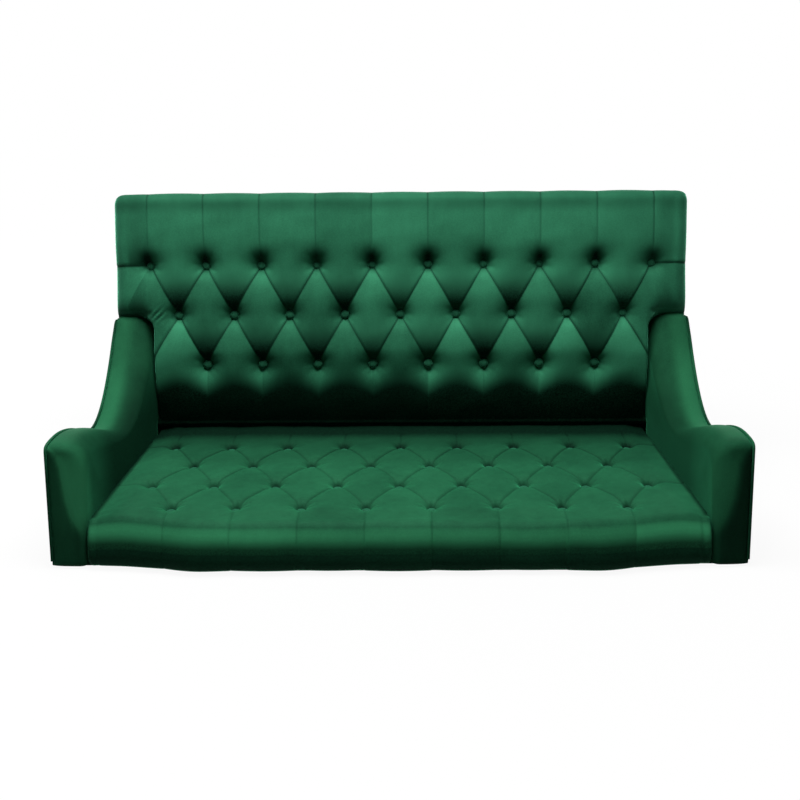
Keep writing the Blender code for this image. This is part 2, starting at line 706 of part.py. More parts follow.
def build_back_cover(velvet, parent):
    """Tufted back cover with its fibre filling, tucked under at the lumbar roll.

    Where the arms' ends stand against it the cover is drawn back into a flat band.
    """
    low_edge = -BACK_DROP + BACK_BOTTOM_ROUND
    high_edge = BACK_TOP - BACK_TOP_ROUND
    rows = row_stations(BACK_LOW_STATIONS, BACK_LAST_ROW, BACK_HIGH_STATIONS)
    slopes = []
    for row in rows:
        if row < 0.0:
            slopes.append(low_edge * row / rows[0])
        elif row > BACK_LAST_ROW:
            share = (row - BACK_LAST_ROW) / (rows[-1] - BACK_LAST_ROW)
            slopes.append(mix(BACK_LAST_ROW * ROW_SPACING, high_edge, share))
        else:
            slopes.append(row * ROW_SPACING)
    wing_slope = back_slope_at(ARM_REAR_DEPTH, WING_HEIGHT) + CLEARANCE
    band_top = min(slope for slope in slopes if slope >= wing_slope)
    band_edge = arm_inner(back_y(0.0, WING_HEIGHT)) - SEAT_SIDE_GAP
    columns = [-EDGE_COLUMN, -BACK_OUTER_COLUMN] + LATTICE + [BACK_OUTER_COLUMN, EDGE_COLUMN]
    grid = []
    labels = []
    for row, slope in zip(rows, slopes):
        line = []
        for column in columns:
            x = column * BACK_COLUMN
            if abs(column) == EDGE_COLUMN:
                x = math.copysign(BACK_HALF - BACK_SIDE_ROUND, column)
            tuck = LUMBAR_TUCK * max(0.0, slope / low_edge) ** 2
            height = BACK_PUFF * quilt(x / BACK_COLUMN, row, BACK_LAST_ROW) - tuck
            if abs(column) >= BACK_OUTER_COLUMN and slope <= band_top:
                height = min(height, -SIDE_BAND_SET_BACK)
                if abs(column) == BACK_OUTER_COLUMN:
                    x = math.copysign(band_edge, column)
            line.append((x, slope, height))
        grid.append(line)
        labels.append([(column, row) for column in columns])

    def edge(su, sv):
        rolled = {-1: BACK_BOTTOM_ROUND, 0: BACK_SIDE_ROUND, 1: BACK_TOP_ROUND}[sv]
        return BACK_SIDE_ROUND, rolled, rolled

    def rim(su, sv):
        return -BACK_FOAM_REAR if sv < 0 else -BACK_RAIL_REAR

    def inner(su, sv):
        return BACK_SIDE_WALL, LUMBAR_FILL if sv < 0 else COVER_THICKNESS

    cover = tufted_lid(
        grid, labels, BACK_LAST_ROW, button_labels(BACK_ROW_LIMITS), edge, rim, inner,
        -BACK_FILL_THICKNESS, lambda u, v, height: (u, -height, v),
    )
    add_object("back_tufted_cover", cover, velvet, parent)


def build_back(wood, webbing, foam, velvet, parent):
    """Frame, webbing, foam, tufted cover and outside panel of the back."""
    posts = {}
    post_top = BACK_FRAME_TOP
    foot_front = back_slope_at(BACK_RAIL_FRONT, RAIL_BOTTOM)
    foot_rear = back_slope_at(BACK_RAIL_REAR, RAIL_BOTTOM)
    post_outline = [
        (BACK_RAIL_FRONT, foot_front),
        (BACK_RAIL_REAR, foot_rear),
        (BACK_RAIL_REAR, post_top),
        (BACK_RAIL_FRONT, post_top),
    ]
    for side, label in ((-1, "left"), (1, "right")):
        span = sorted((side * POST_INNER, side * POST_OUTER))
        post = add_object(f"{label}_back_post", prism(post_outline, "x", *span), wood, parent)
        ease_edges(post)
        posts[label] = post

    low_rail = -BACK_DROP
    rails = (
        ("back_bottom_rail", low_rail),
        ("back_middle_rail", (low_rail + post_top - BACK_RAIL_HEIGHT) / 2),
        ("back_top_rail", post_top - BACK_RAIL_HEIGHT),
    )
    for name, low in rails:
        outline = rectangle(BACK_RAIL_FRONT, BACK_RAIL_REAR, low, low + BACK_RAIL_HEIGHT)
        rail = add_object(name, prism(outline, "x", -RAIL_END, RAIL_END), wood, parent)
        ease_edges(rail)

    strap_outline = rectangle(
        BACK_STRAP_FRONT,
        BACK_STRAP_FRONT + STRAP_THICKNESS,
        low_rail + BACK_RAIL_HEIGHT - STRAP_REST,
        post_top - BACK_RAIL_HEIGHT + STRAP_REST,
    )
    for number, x in enumerate(spread(BACK_STRAP_COUNT, -RAIL_END, RAIL_END)):
        strap = prism(strap_outline, "x", x - STRAP_WIDTH / 2, x + STRAP_WIDTH / 2)
        add_object(f"back_strap_{number + 1}", strap, webbing, parent)

    foam_half = BACK_HALF - BACK_SIDE_WALL - CLEARANCE
    foam_outline = rectangle(
        BACK_FOAM_FRONT,
        BACK_FOAM_REAR,
        -BACK_DROP + LUMBAR_FILL + CLEARANCE,
        BACK_FRAME_TOP,
    )
    add_object("back_foam", prism(foam_outline, "x", -foam_half, foam_half), foam, parent)
    build_back_cover(velvet, parent)

    panel_half = BACK_HALF - CLEARANCE
    panel_outline = [
        (BACK_PANEL_FRONT, back_slope_at(BACK_PANEL_FRONT, RAIL_BOTTOM)),
        (BACK_PANEL_REAR, back_slope_at(BACK_PANEL_REAR, RAIL_BOTTOM)),
        (BACK_PANEL_REAR, BACK_PANEL_TOP),
        (BACK_PANEL_FRONT, BACK_PANEL_TOP),
    ]
    panel = prism(panel_outline, "x", -panel_half, panel_half)
    add_object("outside_back_panel", panel, velvet, parent)
    return posts


def build_post_bolts(posts, rails, steel, parent):
    """Bolts that draw each back post against the end of its side rail."""
    slope = back_slope_at(BACK_RAIL_FRONT, (RAIL_BOTTOM + RAIL_TOP) / 2)
    forward = (math.pi / 2, 0.0, 0.0)
    shank = BACK_RAIL_DEPTH - BOLT_HEAD_HEIGHT + BOLT_REACH
    profile = [
        (BOLT_HEAD_RADIUS, 0.0),
        (BOLT_HEAD_RADIUS, BOLT_HEAD_HEIGHT),
        (BOLT_RADIUS, BOLT_HEAD_HEIGHT),
        (BOLT_RADIUS, BOLT_HEAD_HEIGHT + shank),
    ]
    sink = BOLT_HEAD_HEIGHT + CLEARANCE
    for side, label in ((-1, "left"), (1, "right")):
        place = (side * (POST_INNER + POST_OUTER) / 2, BACK_RAIL_REAR, slope)
        bolt = add_object(f"{label}_post_bolt", lathe(profile), steel, parent)
        bolt.location = place
        bolt.rotation_euler = forward
        length = profile[-1][1] + CLEARANCE
        drill(
            [posts[label], rails[label]], BOLT_RADIUS + CLEARANCE, -CLEARANCE, length,
            place, forward, parent,
        )
        drill(
            [posts[label]], BOLT_HEAD_RADIUS + CLEARANCE, -sink, sink, place, forward, parent
        )


def arm_profile():
    """Return the arm's outline from its front foot over the swoop to the wing.

    Each entry is a (y, z) point, the direction into the arm and the rounding radius of its
    inner edge there.  At the foot and at the back the direction follows the end's own cut.
    """
    foot = Vector((arm_front(RAIL_BOTTOM), RAIL_BOTTOM))
    shoulder = Vector((arm_front(ARM_SHOULDER_HEIGHT), ARM_SHOULDER_HEIGHT))
    crest = Vector((ARM_FRONT_Y + ARM_CREST_REACH, ARM_CREST_HEIGHT))
    dip = Vector((ARM_FRONT_Y + ARM_DIP_REACH, ARM_DIP_HEIGHT))
    wing = Vector((back_y(ARM_REAR_DEPTH, WING_HEIGHT), WING_HEIGHT))
    rise = (shoulder - foot).normalized() * (ARM_CREST_HEIGHT - ARM_SHOULDER_HEIGHT) / 2
    run = Vector(((crest.x - shoulder.x) / 2, 0.0))
    points = [foot]
    for height in (ARM_PAD_BOTTOM, (ARM_PAD_BOTTOM + ARM_SHOULDER_HEIGHT) / 2):
        points.append(Vector((arm_front(height), height)))
    points += interpolate_bezier(shoulder, shoulder + rise, crest - run, crest, SHOULDER_STEPS)
    fall = Vector((dip.x - crest.x, 0.0))
    crest_handle = crest + fall * CREST_HANDLE_SHARE
    dip_handle = dip - fall * DIP_FRONT_HANDLE_SHARE
    points += interpolate_bezier(crest, crest_handle, dip_handle, dip, SWOOP_STEPS)[1:]
    sweep = Vector((wing.x - dip.x, 0.0))
    dip_handle = dip + sweep * DIP_REAR_HANDLE_SHARE
    wing_handle = wing - Vector((1.0, WING_FALL_SHARE)) * sweep.x * WING_HANDLE_SHARE
    points += interpolate_bezier(dip, dip_handle, wing_handle, wing, WING_STEPS)[1:]
    points = [Vector(point[:2]) for point in points]

    profile = []
    for index, point in enumerate(points):
        before = points[max(index - 1, 0)]
        after = points[min(index + 1, len(points) - 1)]
        run = (after - before).normalized()
        inward = Vector((run.y, -run.x))
        cut = None
        if point.y <= ARM_PAD_BOTTOM:
            cut = Vector((1.0, 0.0))
        elif index == len(points) - 1:
            cut = Vector((-math.sin(RECLINE), -math.cos(RECLINE)))
        if cut is not None:
            inward = cut / cut.dot(inward)
        swoop = smooth((point.x - ARM_FRONT_Y) / ARM_DIP_REACH)
        profile.append((point, inward, mix(ARM_FRONT_ROUND, ARM_TOP_ROUND, swoop)))
    return profile


def inset_profile(distance):
    """Return the arm's outline drawn inwards by a distance."""
    return [tuple(point + inward * distance) for point, inward, _ in arm_profile()]


def arm_surface(side, inset, start):
    """Return the arm's padded surface drawn in by an inset, as points and faces.

    Cross-sections stand on the outline from its outer edge over the crown to the inner face,
    and one flat face then closes the inner side above the seat.
    """
    outer_turns = [math.radians(90.0), math.radians(45.0), 0.0]
    inner_turns = [math.radians(angle) for angle in (30.0, 60.0, 90.0)]
    sections = len(outer_turns) + len(inner_turns)
    profile = arm_profile()[start:]
    points = []

    def section_point(place, inward, half_x, half_z, turn, sign):
        normal = Vector((math.sin(turn) / half_x, math.cos(turn) / half_z)).normalized()
        x = ARM_CROWN + sign * (half_x * math.sin(turn) - inset * normal.x)
        fall = half_z * (1.0 - math.cos(turn)) + inset * normal.y
        y, z = place + inward * fall
        return (side * x, y, z)

    for place, inward, inner_round in profile:
        for turn in outer_turns:
            half_x = ARM_COVER_OUTER - ARM_CROWN
            points.append(section_point(place, inward, half_x, ARM_EDGE_DROP, turn, 1))
        for turn in inner_turns:
            ring_y = (place + inward * inner_round * (1.0 - math.cos(turn))).x
            half_x = ARM_CROWN - arm_inner(ring_y)
            points.append(section_point(place, inward, half_x, inner_round, turn, -1))
    faces = []
    for station in range(len(profile) - 1):
        for section in range(sections - 1):
            first = station * sections + section
            opposite = first + sections + 1
            faces.append((first, first + 1, opposite))
            faces.append((first, opposite, opposite - 1))
    cap_start = 0 if start else 1
    cap = [station * sections + sections - 1 for station in range(cap_start, len(profile))]
    cap.reverse()
    rear_y = back_y(ARM_REAR_DEPTH, ARM_PAD_BOTTOM)
    points.append((side * (arm_inner(rear_y) + inset), rear_y, ARM_PAD_BOTTOM))
    cap.append(len(points) - 1)
    faces.append(tuple(cap))
    return points, faces, sections


def shell(outer, inner, faces):
    """Close two like surfaces into a shell along their open edges."""
    builder = bmesh.new()
    outer_verts = [builder.verts.new(point) for point in outer]
    inner_verts = [builder.verts.new(point) for point in inner]
    for face in faces:
        builder.faces.new([outer_verts[index] for index in face])
        builder.faces.new([inner_verts[index] for index in reversed(face)])
    edges = [pair for face in faces for pair in zip(face, face[1:] + face[:1])]
    for start, end in edges:
        if (end, start) not in edges:
            builder.faces.new(
                (outer_verts[end], outer_verts[start], inner_verts[start], inner_verts[end])
            )
    return builder


def build_arm_cover(label, side, velvet):
    """Velvet wrapped over the arm from its welted outer edge to its inner face."""
    outer, faces, _ = arm_surface(side, 0.0, 0)
    inner, _, _ = arm_surface(side, COVER_THICKNESS, 0)
    add_object(f"{label}_arm_cover", shell(outer, inner, faces), velvet)


def ply_outline():
    """Return the arm panel's outline, with a foot that reaches along the back post."""
    foot = back_y(BACK_RAIL_REAR, RAIL_BOTTOM)
    return inset_profile(ARM_PLY_INSET) + [
        (back_y(ARM_REAR_DEPTH, ARM_PAD_BOTTOM), ARM_PAD_BOTTOM),
        (foot, ARM_PAD_BOTTOM),
        (foot, RAIL_BOTTOM),
    ]


def post_outline(grow):
    """Return the arm's front post seen from the side."""
    low = RAIL_TOP + CLEARANCE - grow
    high = ARM_POST_HEIGHT + grow
    front = FRONT_RAIL_INSET - grow
    rear = FRONT_RAIL_INSET + ARM_POST_DEPTH + grow
    return [
        (arm_front(low) + front, low),
        (arm_front(low) + rear, low),
        (arm_front(high) + rear, high),
        (arm_front(high) + front, high),
    ]


def build_arm_foam(label, side, foam):
    """Foam that fills the arm's cover round its plywood panel and front post."""
    points, faces, sections = arm_surface(side, COVER_THICKNESS + 2 * CLEARANCE, 1)
    stations = (len(points) - 1) // sections
    cap_corner = len(points) - 1
    outer_x = points[0][0]
    points.append((outer_x, points[cap_corner][1], points[cap_corner][2]))
    outer_corner = len(points) - 1
    outer_edge = [station * sections for station in range(stations)]
    faces.append(tuple(outer_edge + [outer_corner]))
    end = (stations - 1) * sections
    faces.append(tuple(range(end, end + sections)) + (cap_corner, outer_corner))
    faces.append(tuple(range(sections)) + (cap_corner, outer_corner))
    builder = bmesh.new()
    verts = [builder.verts.new(point) for point in points]
    for face in faces:
        builder.faces.new([verts[index] for index in face])
    pad = add_object(f"{label}_arm_foam", builder, foam)
    ply_span = sorted((side * (PLY_INNER - CLEARANCE), side * (HALF_WIDTH + CLEARANCE)))
    hollow = inset_profile(ARM_PLY_INSET - CLEARANCE)
    past_rear = hollow[-1][0] + BACK_RAIL_DEPTH
    hollow += [(past_rear, hollow[-1][1]), (past_rear, 0.0), (hollow[0][0], 0.0)]
    ply_cut = add_object(f"{label}_ply_hollow", prism(hollow, "x", *ply_span), None)
    combine(pad, ply_cut, "DIFFERENCE")
    post_span = sorted((side * (POST_INNER - CLEARANCE), side * (POST_OUTER + 2 * CLEARANCE)))
    post_cut = add_object(
        f"{label}_post_hollow", prism(post_outline(CLEARANCE), "x", *post_span), None
    )
    combine(pad, post_cut, "DIFFERENCE")


def build_outside_arm_panel(label, side, velvet):
    """Board-backed velvet panel on the outside of the arm, as far as the rear of the back."""
    top = inset_profile(2 * WELT_RADIUS + 2 * CLEARANCE)
    height = top[-1][1]
    outline = top + [
        (back_y(BACK_PANEL_REAR, height), height),
        (back_y(BACK_PANEL_REAR, RAIL_BOTTOM), RAIL_BOTTOM),
    ]
    span = sorted((side * OUTSIDE_PANEL_INNER, side * HALF_WIDTH))
    add_object(f"{label}_outside_arm_panel", prism(outline, "x", *span), velvet)


def build_welt(label, side, velvet):
    """Corded welt in the seam between the arm's cover and its outside panel."""
    curve = bpy.data.curves.new(f"{label}_arm_welt", "CURVE")
    curve.dimensions = "3D"
    curve.bevel_depth = WELT_RADIUS
    curve.bevel_resolution = 1
    curve.use_fill_caps = True
    path = inset_profile(WELT_RADIUS + CLEARANCE)
    spline = curve.splines.new("POLY")
    spline.points.add(len(path) - 1)
    for point, (y, z) in zip(spline.points, path):
        point.co = (side * WELT_CENTRE, y, z, 1.0)
    curve.materials.append(velvet)
    welt = bpy.data.objects.new(f"{label}_arm_welt", curve)
    bpy.context.scene.collection.objects.link(welt)


def build_arm(label, side, rails, wood, ply, foam, velvet):
    """Plywood panel, front post, dowel, foam, cover, outside panel and welt of one arm."""
    ply_span = sorted((side * PLY_INNER, side * PLY_OUTER))
    add_object(f"{label}_arm_panel", prism(ply_outline(), "x", *ply_span), ply)
    post_span = sorted((side * POST_INNER, side * POST_OUTER))
    post = add_object(
        f"{label}_arm_front_post", prism(post_outline(0.0), "x", *post_span), wood
    )
    ease_edges(post)
    dowel_y = arm_front(RAIL_TOP) + FRONT_RAIL_INSET + FRONT_RAIL_DEPTH / 3
    place = (side * (POST_INNER + POST_OUTER) / 2, dowel_y, RAIL_TOP)
    half = DOWEL_HALF_LENGTH
    dowel = add_object(
        f"{label}_arm_dowel", lathe([(DOWEL_RADIUS, -half), (DOWEL_RADIUS, half)]), wood
    )
    dowel.location = place
    reach = half + CLEARANCE
    drill([post, rails["front"]], DOWEL_RADIUS + CLEARANCE, -reach, reach, place)
    build_arm_foam(label, side, foam)
    build_arm_cover(label, side, velvet)
    build_outside_arm_panel(label, side, velvet)
    build_welt(label, side, velvet)


def main():
    """Clear the scene and build the loveseat."""
    for item in list(bpy.data.objects):
        bpy.data.objects.remove(item, do_unlink=True)
    velvet = make_material("green_velvet", (0.012, 0.115, 0.060), 0.75)
    foam = make_material("cream_foam", (0.80, 0.70, 0.45), 0.9)
    wood = make_material("beech", (0.55, 0.36, 0.19), 0.55)
    ply = make_material("birch_ply", (0.62, 0.46, 0.28), 0.6)
    webbing = make_material("jute_webbing", (0.34, 0.24, 0.12), 0.9)
    cloth = make_material("black_lining", (0.015, 0.015, 0.016), 0.95)
    steel = make_material("zinc_steel", (0.62, 0.63, 0.64), 0.35, 1.0)

    back_frame = bpy.data.objects.new("back_frame", None)
    back_frame.location = (0.0, BACK_ORIGIN_Y, FIRST_ROW_HEIGHT)
    back_frame.rotation_euler = (-RECLINE, 0.0, 0.0)
    bpy.context.scene.collection.objects.link(back_frame)

    rails = build_seat_frame(wood)
    build_corners(wood, steel, cloth)
    build_seat_webbing(webbing)
    build_seat(velvet, foam, cloth)
    posts = build_back(wood, webbing, foam, velvet, back_frame)
    build_post_bolts(posts, rails, steel, back_frame)
    for side, label in ((-1, "left"), (1, "right")):
        build_arm(label, side, rails, wood, ply, foam, velvet)


main()
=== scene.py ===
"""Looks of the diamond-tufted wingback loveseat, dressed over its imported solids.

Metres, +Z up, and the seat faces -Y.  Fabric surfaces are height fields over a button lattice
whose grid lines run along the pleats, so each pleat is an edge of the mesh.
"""

import json
import logging
import math
from contextlib import contextmanager
from dataclasses import dataclass
from enum import Enum
from typing import Any, Callable, Iterable, Iterator, Sequence

import bmesh
import bpy
import numpy as np
from mathutils import Matrix, Vector
from mathutils.geometry import delaunay_2d_cdt, interpolate_bezier


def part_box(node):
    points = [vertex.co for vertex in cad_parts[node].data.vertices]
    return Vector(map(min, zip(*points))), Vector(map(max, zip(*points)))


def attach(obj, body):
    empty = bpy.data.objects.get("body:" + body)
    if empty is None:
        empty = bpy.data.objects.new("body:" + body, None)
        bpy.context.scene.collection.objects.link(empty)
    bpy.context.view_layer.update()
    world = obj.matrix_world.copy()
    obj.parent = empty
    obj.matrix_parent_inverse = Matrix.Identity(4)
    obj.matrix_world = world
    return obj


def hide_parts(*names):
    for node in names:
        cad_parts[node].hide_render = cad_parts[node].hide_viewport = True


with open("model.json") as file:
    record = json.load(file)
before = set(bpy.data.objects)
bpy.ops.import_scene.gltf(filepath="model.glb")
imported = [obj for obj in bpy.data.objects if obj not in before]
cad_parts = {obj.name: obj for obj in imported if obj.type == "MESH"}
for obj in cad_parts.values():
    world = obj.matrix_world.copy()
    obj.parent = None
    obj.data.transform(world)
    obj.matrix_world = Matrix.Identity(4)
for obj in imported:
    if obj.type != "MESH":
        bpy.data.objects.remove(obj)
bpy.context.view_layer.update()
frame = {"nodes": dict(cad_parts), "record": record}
LOG = logging.getLogger("loveseat")
BODY = "root"
# Mesh attribute of painted shade: darker in pleats, pits, hollows and on faces turned from the
# lamp.
PAINTED_SHADE = "fold"
# Mesh attribute that lightens or darkens the base colour: painted highlights and shade, plus random
# tone.
TONE_AND_PAINTED_LIGHT = "nap"
QUARTER = math.pi / 2
DOWN = (0.0, 0.0, -1.0)
CORD_SIDES = 12
Array = np.ndarray
Point = tuple[float, float]
Place = tuple[float, float, float]
Colour = tuple[float, float, float, float]
Piece = bpy.types.Object
Finish = bpy.types.Material
Socket = bpy.types.NodeSocket


class Side(Enum):
    """The two ends of the loveseat, as seen from the front."""

    LEFT = -1
    RIGHT = 1

    @property
    def label(self) -> str:
        """Name of the side, as the solids use it."""
        return self.name.lower()


def ease(value: Array, low: float, high: float) -> Array:
    """Rise smoothly from 0 at low to 1 at high.

    Args:
        value: Places to read the curve at.
        low: Place where the curve leaves 0.
        high: Place where the curve reaches 1.

    Returns:
        The curve's values.
    """
    share = np.clip((np.asarray(value, dtype=float) - low) / (high - low), 0.0, 1.0)
    return share * share * (3.0 - 2.0 * share)


def mix(first: Any, second: Any, share: Any) -> Any:
    """Return the value that lies a share of the way from the first to the second."""
    return first + (second - first) * share


def waves(x: Array, y: Array, size: float, seed: int) -> Array:
    """Return slow, seeded unevenness from -1 to 1.

    Args:
        x: First coordinate of each place.
        y: Second coordinate of each place.
        size: Length of the main waves.
        seed: Fixed seed of the waves' directions and phases.

    Returns:
        One value for each place.
    """
    draw = np.random.default_rng(seed)
    total = np.zeros_like(np.asarray(x, dtype=float))
    count = 7
    for _ in range(count):
        angle, phase = draw.uniform(0.0, 2.0 * math.pi, 2)
        pitch = 2.0 * math.pi / (size * draw.uniform(0.6, 1.6))
        total += np.sin((x * math.cos(angle) + y * math.sin(angle)) * pitch + phase)
    return total / math.sqrt(2.0 * count)


def link(name: str, data: bpy.types.ID) -> Piece:
    """Put a new object with the given data into the scene.

    Args:
        name: Name of the object.
        data: The mesh, camera or lamp that it shows.

    Returns:
        The new object.
    """
    item = bpy.data.objects.new(name, data)
    bpy.context.scene.collection.objects.link(item)
    return item


def add_mesh(name: str, points: Any, faces: Any, smooth: bool = True) -> Piece:
    """Make a mesh object at the origin.

    Args:
        name: Name of the piece.
        points: Corner places.
        faces: Corner numbers of each face.
        smooth: Whether to shade the faces smoothly.

    Returns:
        The new object.
    """
    mesh = bpy.data.meshes.new(name)
    mesh.from_pydata([tuple(point) for point in points], [], [tuple(face) for face in faces])
    mesh.validate()
    mesh.polygons.foreach_set("use_smooth", [smooth] * len(mesh.polygons))
    return link(name, mesh)


@contextmanager
def editing(mesh: bpy.types.Mesh) -> Iterator[bmesh.types.BMesh]:
    """Open a mesh for editing, and store it afterwards.

    Args:
        mesh: The mesh.

    Yields:
        A builder that holds the mesh.
    """
    builder = bmesh.new()
    builder.from_mesh(mesh)
    yield builder
    builder.to_mesh(mesh)
    builder.free()


def turn_outwards(piece: Piece) -> None:
    """Merge a closed mesh's doubles and point its faces outwards.

    Args:
        piece: The mesh's object.
    """
    with editing(piece.data) as builder:
        bmesh.ops.remove_doubles(builder, verts=builder.verts, dist=1e-6)
        bmesh.ops.recalc_face_normals(builder, faces=builder.faces)


def thicken(piece: Piece, thickness: float, offset: float) -> None:
    """Give a sheet of cloth its thickness, on the side that the offset names.

    Args:
        piece: The sheet.
        thickness: Its thickness.
        offset: -1 for the inside, 1 for the outside.
    """
    wall = piece.modifiers.new("cloth", "SOLIDIFY")
    wall.thickness = thickness
    wall.offset = offset


def set_shading(piece: Piece, fold: Array, nap: Array) -> None:
    """Store the velvet's painted shade and painted highlights on a mesh.

    Args:
        piece: The mesh's object.
        fold: Painted shade at each corner, from 0 to 1.
        nap: Painted highlights and random tone at each corner, about -1 to 1.
    """
    for name, values in ((PAINTED_SHADE, fold), (TONE_AND_PAINTED_LIGHT, nap)):
        attribute = piece.data.attributes.new(name, "FLOAT", "POINT")
        attribute.data.foreach_set("value", np.asarray(values, dtype=np.float32))


def dress(piece: Piece, material: Finish, slot: str, *nodes: str) -> None:
    """Give a finished piece its finish and body, and hide the solids that it replaces.

    Args:
        piece: The finished piece.
        material: Its finish.
        slot: The record's slot of that finish; not used.
        nodes: Solids that the piece replaces.
    """
    piece.data.materials.clear()
    piece.data.materials.append(material)
    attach(piece, BODY)
    if nodes:
        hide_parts(*nodes)
    LOG.info("%s: %d faces", piece.name, len(piece.data.polygons))


def operator(operation: str, swapped: bool = False) -> Callable[["Value", Any], "Value"]:
    """Make a method of Value that adds a Math node.

    Args:
        operation: What the node does.
        swapped: Whether the other number comes first.

    Returns:
        The method.
    """

    def method(self: "Value", other: Any) -> "Value":
        """Add the node."""
        pair = (other, self) if swapped else (self, other)
        made = self.graph.node("ShaderNodeMath", dict(enumerate(pair)), operation=operation)
        return Value(self.graph, made.outputs[0])

    return method


class Value:
    """A shader number that takes part in Python arithmetic."""

    def __init__(self, graph: "Graph", socket: Socket) -> None:
        """Wrap a socket of a graph."""
        self.graph = graph
        self.socket = socket

    __add__, __radd__ = operator("ADD"), operator("ADD", True)
    __sub__, __rsub__ = operator("SUBTRACT"), operator("SUBTRACT", True)
    __mul__, __rmul__ = operator("MULTIPLY"), operator("MULTIPLY", True)
    __truediv__, __rtruediv__ = operator("DIVIDE"), operator("DIVIDE", True)
    __pow__ = operator("POWER")

    def between(self, low: float, high: float) -> "Value":
        """Map low to 0 and high to 1, clamped.

        Args:
            low: Number that becomes 0.
            high: Number that becomes 1.

        Returns:
            The share.
        """
        inputs = {"Value": self, "From Min": low, "From Max": high}
        made = self.graph.node("ShaderNodeMapRange", inputs, clamp=True)
        return Value(self.graph, made.outputs["Result"])


class Graph:
    """Nodes of a shader or geometry tree."""

    def __init__(self, tree: bpy.types.NodeTree) -> None:
        """Start from an empty tree."""
        self.tree = tree
        tree.nodes.clear()

    def node(
        self, kind: str, inputs: dict[Any, Any] | None = None, **settings: Any
    ) -> bpy.types.Node:
        """Add a node.

        Args:
            kind: Type of the node.
            inputs: Values or links of its sockets, by name or number.
            settings: Its own settings, set first.

        Returns:
            The new node.
        """
        made = self.tree.nodes.new(kind)
        for name, value in settings.items():
            setattr(made, name, value)
        for name, value in (inputs or {}).items():
            self.feed(made.inputs[name], value)
        return made

    def feed(self, socket: Socket, value: Any) -> None:
        """Link a value to a socket, or set it.

        Args:
            socket: The socket.
            value: What it takes.
        """
        if isinstance(value, Value):
            value = value.socket
        if isinstance(value, Socket):
            self.tree.links.new(value, socket)
        else:
            socket.default_value = value

    def noise(self, scale: float, detail: float, stretch: Place = (1.0, 1.0, 1.0)) -> Value:
        """Return noise over the piece's own coordinates.

        Args:
            scale: Waves per metre.
            detail: Number of finer layers.
            stretch: Factor on the waves along x, y and z.

        Returns:
            The noise from 0 to 1.
        """
        places = self.node("ShaderNodeTexCoord").outputs["Object"]
        mapped = self.node("ShaderNodeMapping", {"Vector": places, "Scale": stretch})
        inputs = {"Vector": mapped.outputs[0], "Scale": scale, "Detail": detail}
        return Value(self, self.node("ShaderNodeTexNoise", inputs).outputs["Fac"])

    def attribute(self, name: str) -> Value:
        """Return a stored number of the mesh."""
        return Value(self, self.node("ShaderNodeAttribute", attribute_name=name).outputs["Fac"])

    def blend(self, share: Value, low: Any, high: Any) -> Socket:
        """Mix two colours by a share."""
        return self.node("ShaderNodeMix", {0: share, 6: low, 7: high}, data_type="RGBA").outputs[2]

    def either(self, share: Any, low: bpy.types.Node, high: bpy.types.Node) -> bpy.types.Node:
        """Mix two shaders by a share."""
        inputs = {0: share, 1: low.outputs[0], 2: high.outputs[0]}
        return self.node("ShaderNodeMixShader", inputs)

    def seen(self) -> Value:
        """Return 1 where the camera sees the surface, directly or mirrored.

        Returns:
            1 for such rays, 0 for all others.
        """
        path = self.node("ShaderNodeLightPath")
        rays = ("Is Camera Ray", "Is Glossy Ray", "Is Transmission Ray")
        first, second, third = (Value(self, path.outputs[name]) for name in rays)
        return first + second + third

    def grey(self, level: Value) -> Socket:
        """Turn a number into a grey colour."""
        return self.node("ShaderNodeCombineColor", {0: level, 1: level, 2: level}).outputs[0]

    def bump(self, height: Value, strength: float, distance: float) -> Socket:
        """Turn a height into a normal."""
        inputs = {"Height": height, "Strength": strength, "Distance": distance}
        return self.node("ShaderNodeBump", inputs).outputs[0]

    def principled(self, inputs: dict[str, Any]) -> bpy.types.Node:
        """Add a Principled shader."""
        return self.node("ShaderNodeBsdfPrincipled", inputs)

    def end(self, shader: bpy.types.Node, kind: str = "Material") -> None:
        """Close a shader tree."""
        self.node("ShaderNodeOutput" + kind, {"Surface": shader.outputs[0]})


def colour(red: float, green: float, blue: float) -> Colour:
    """Return an opaque colour."""
    return (red, green, blue, 1.0)


def start_material(name: str) -> tuple[Finish, Graph]:
    """Create a material with an empty graph.

    Args:
        name: Name of the material.

    Returns:
        The material and its graph.
    """
    material = bpy.data.materials.new(name)
    material.use_nodes = True
    return material, Graph(material.node_tree)


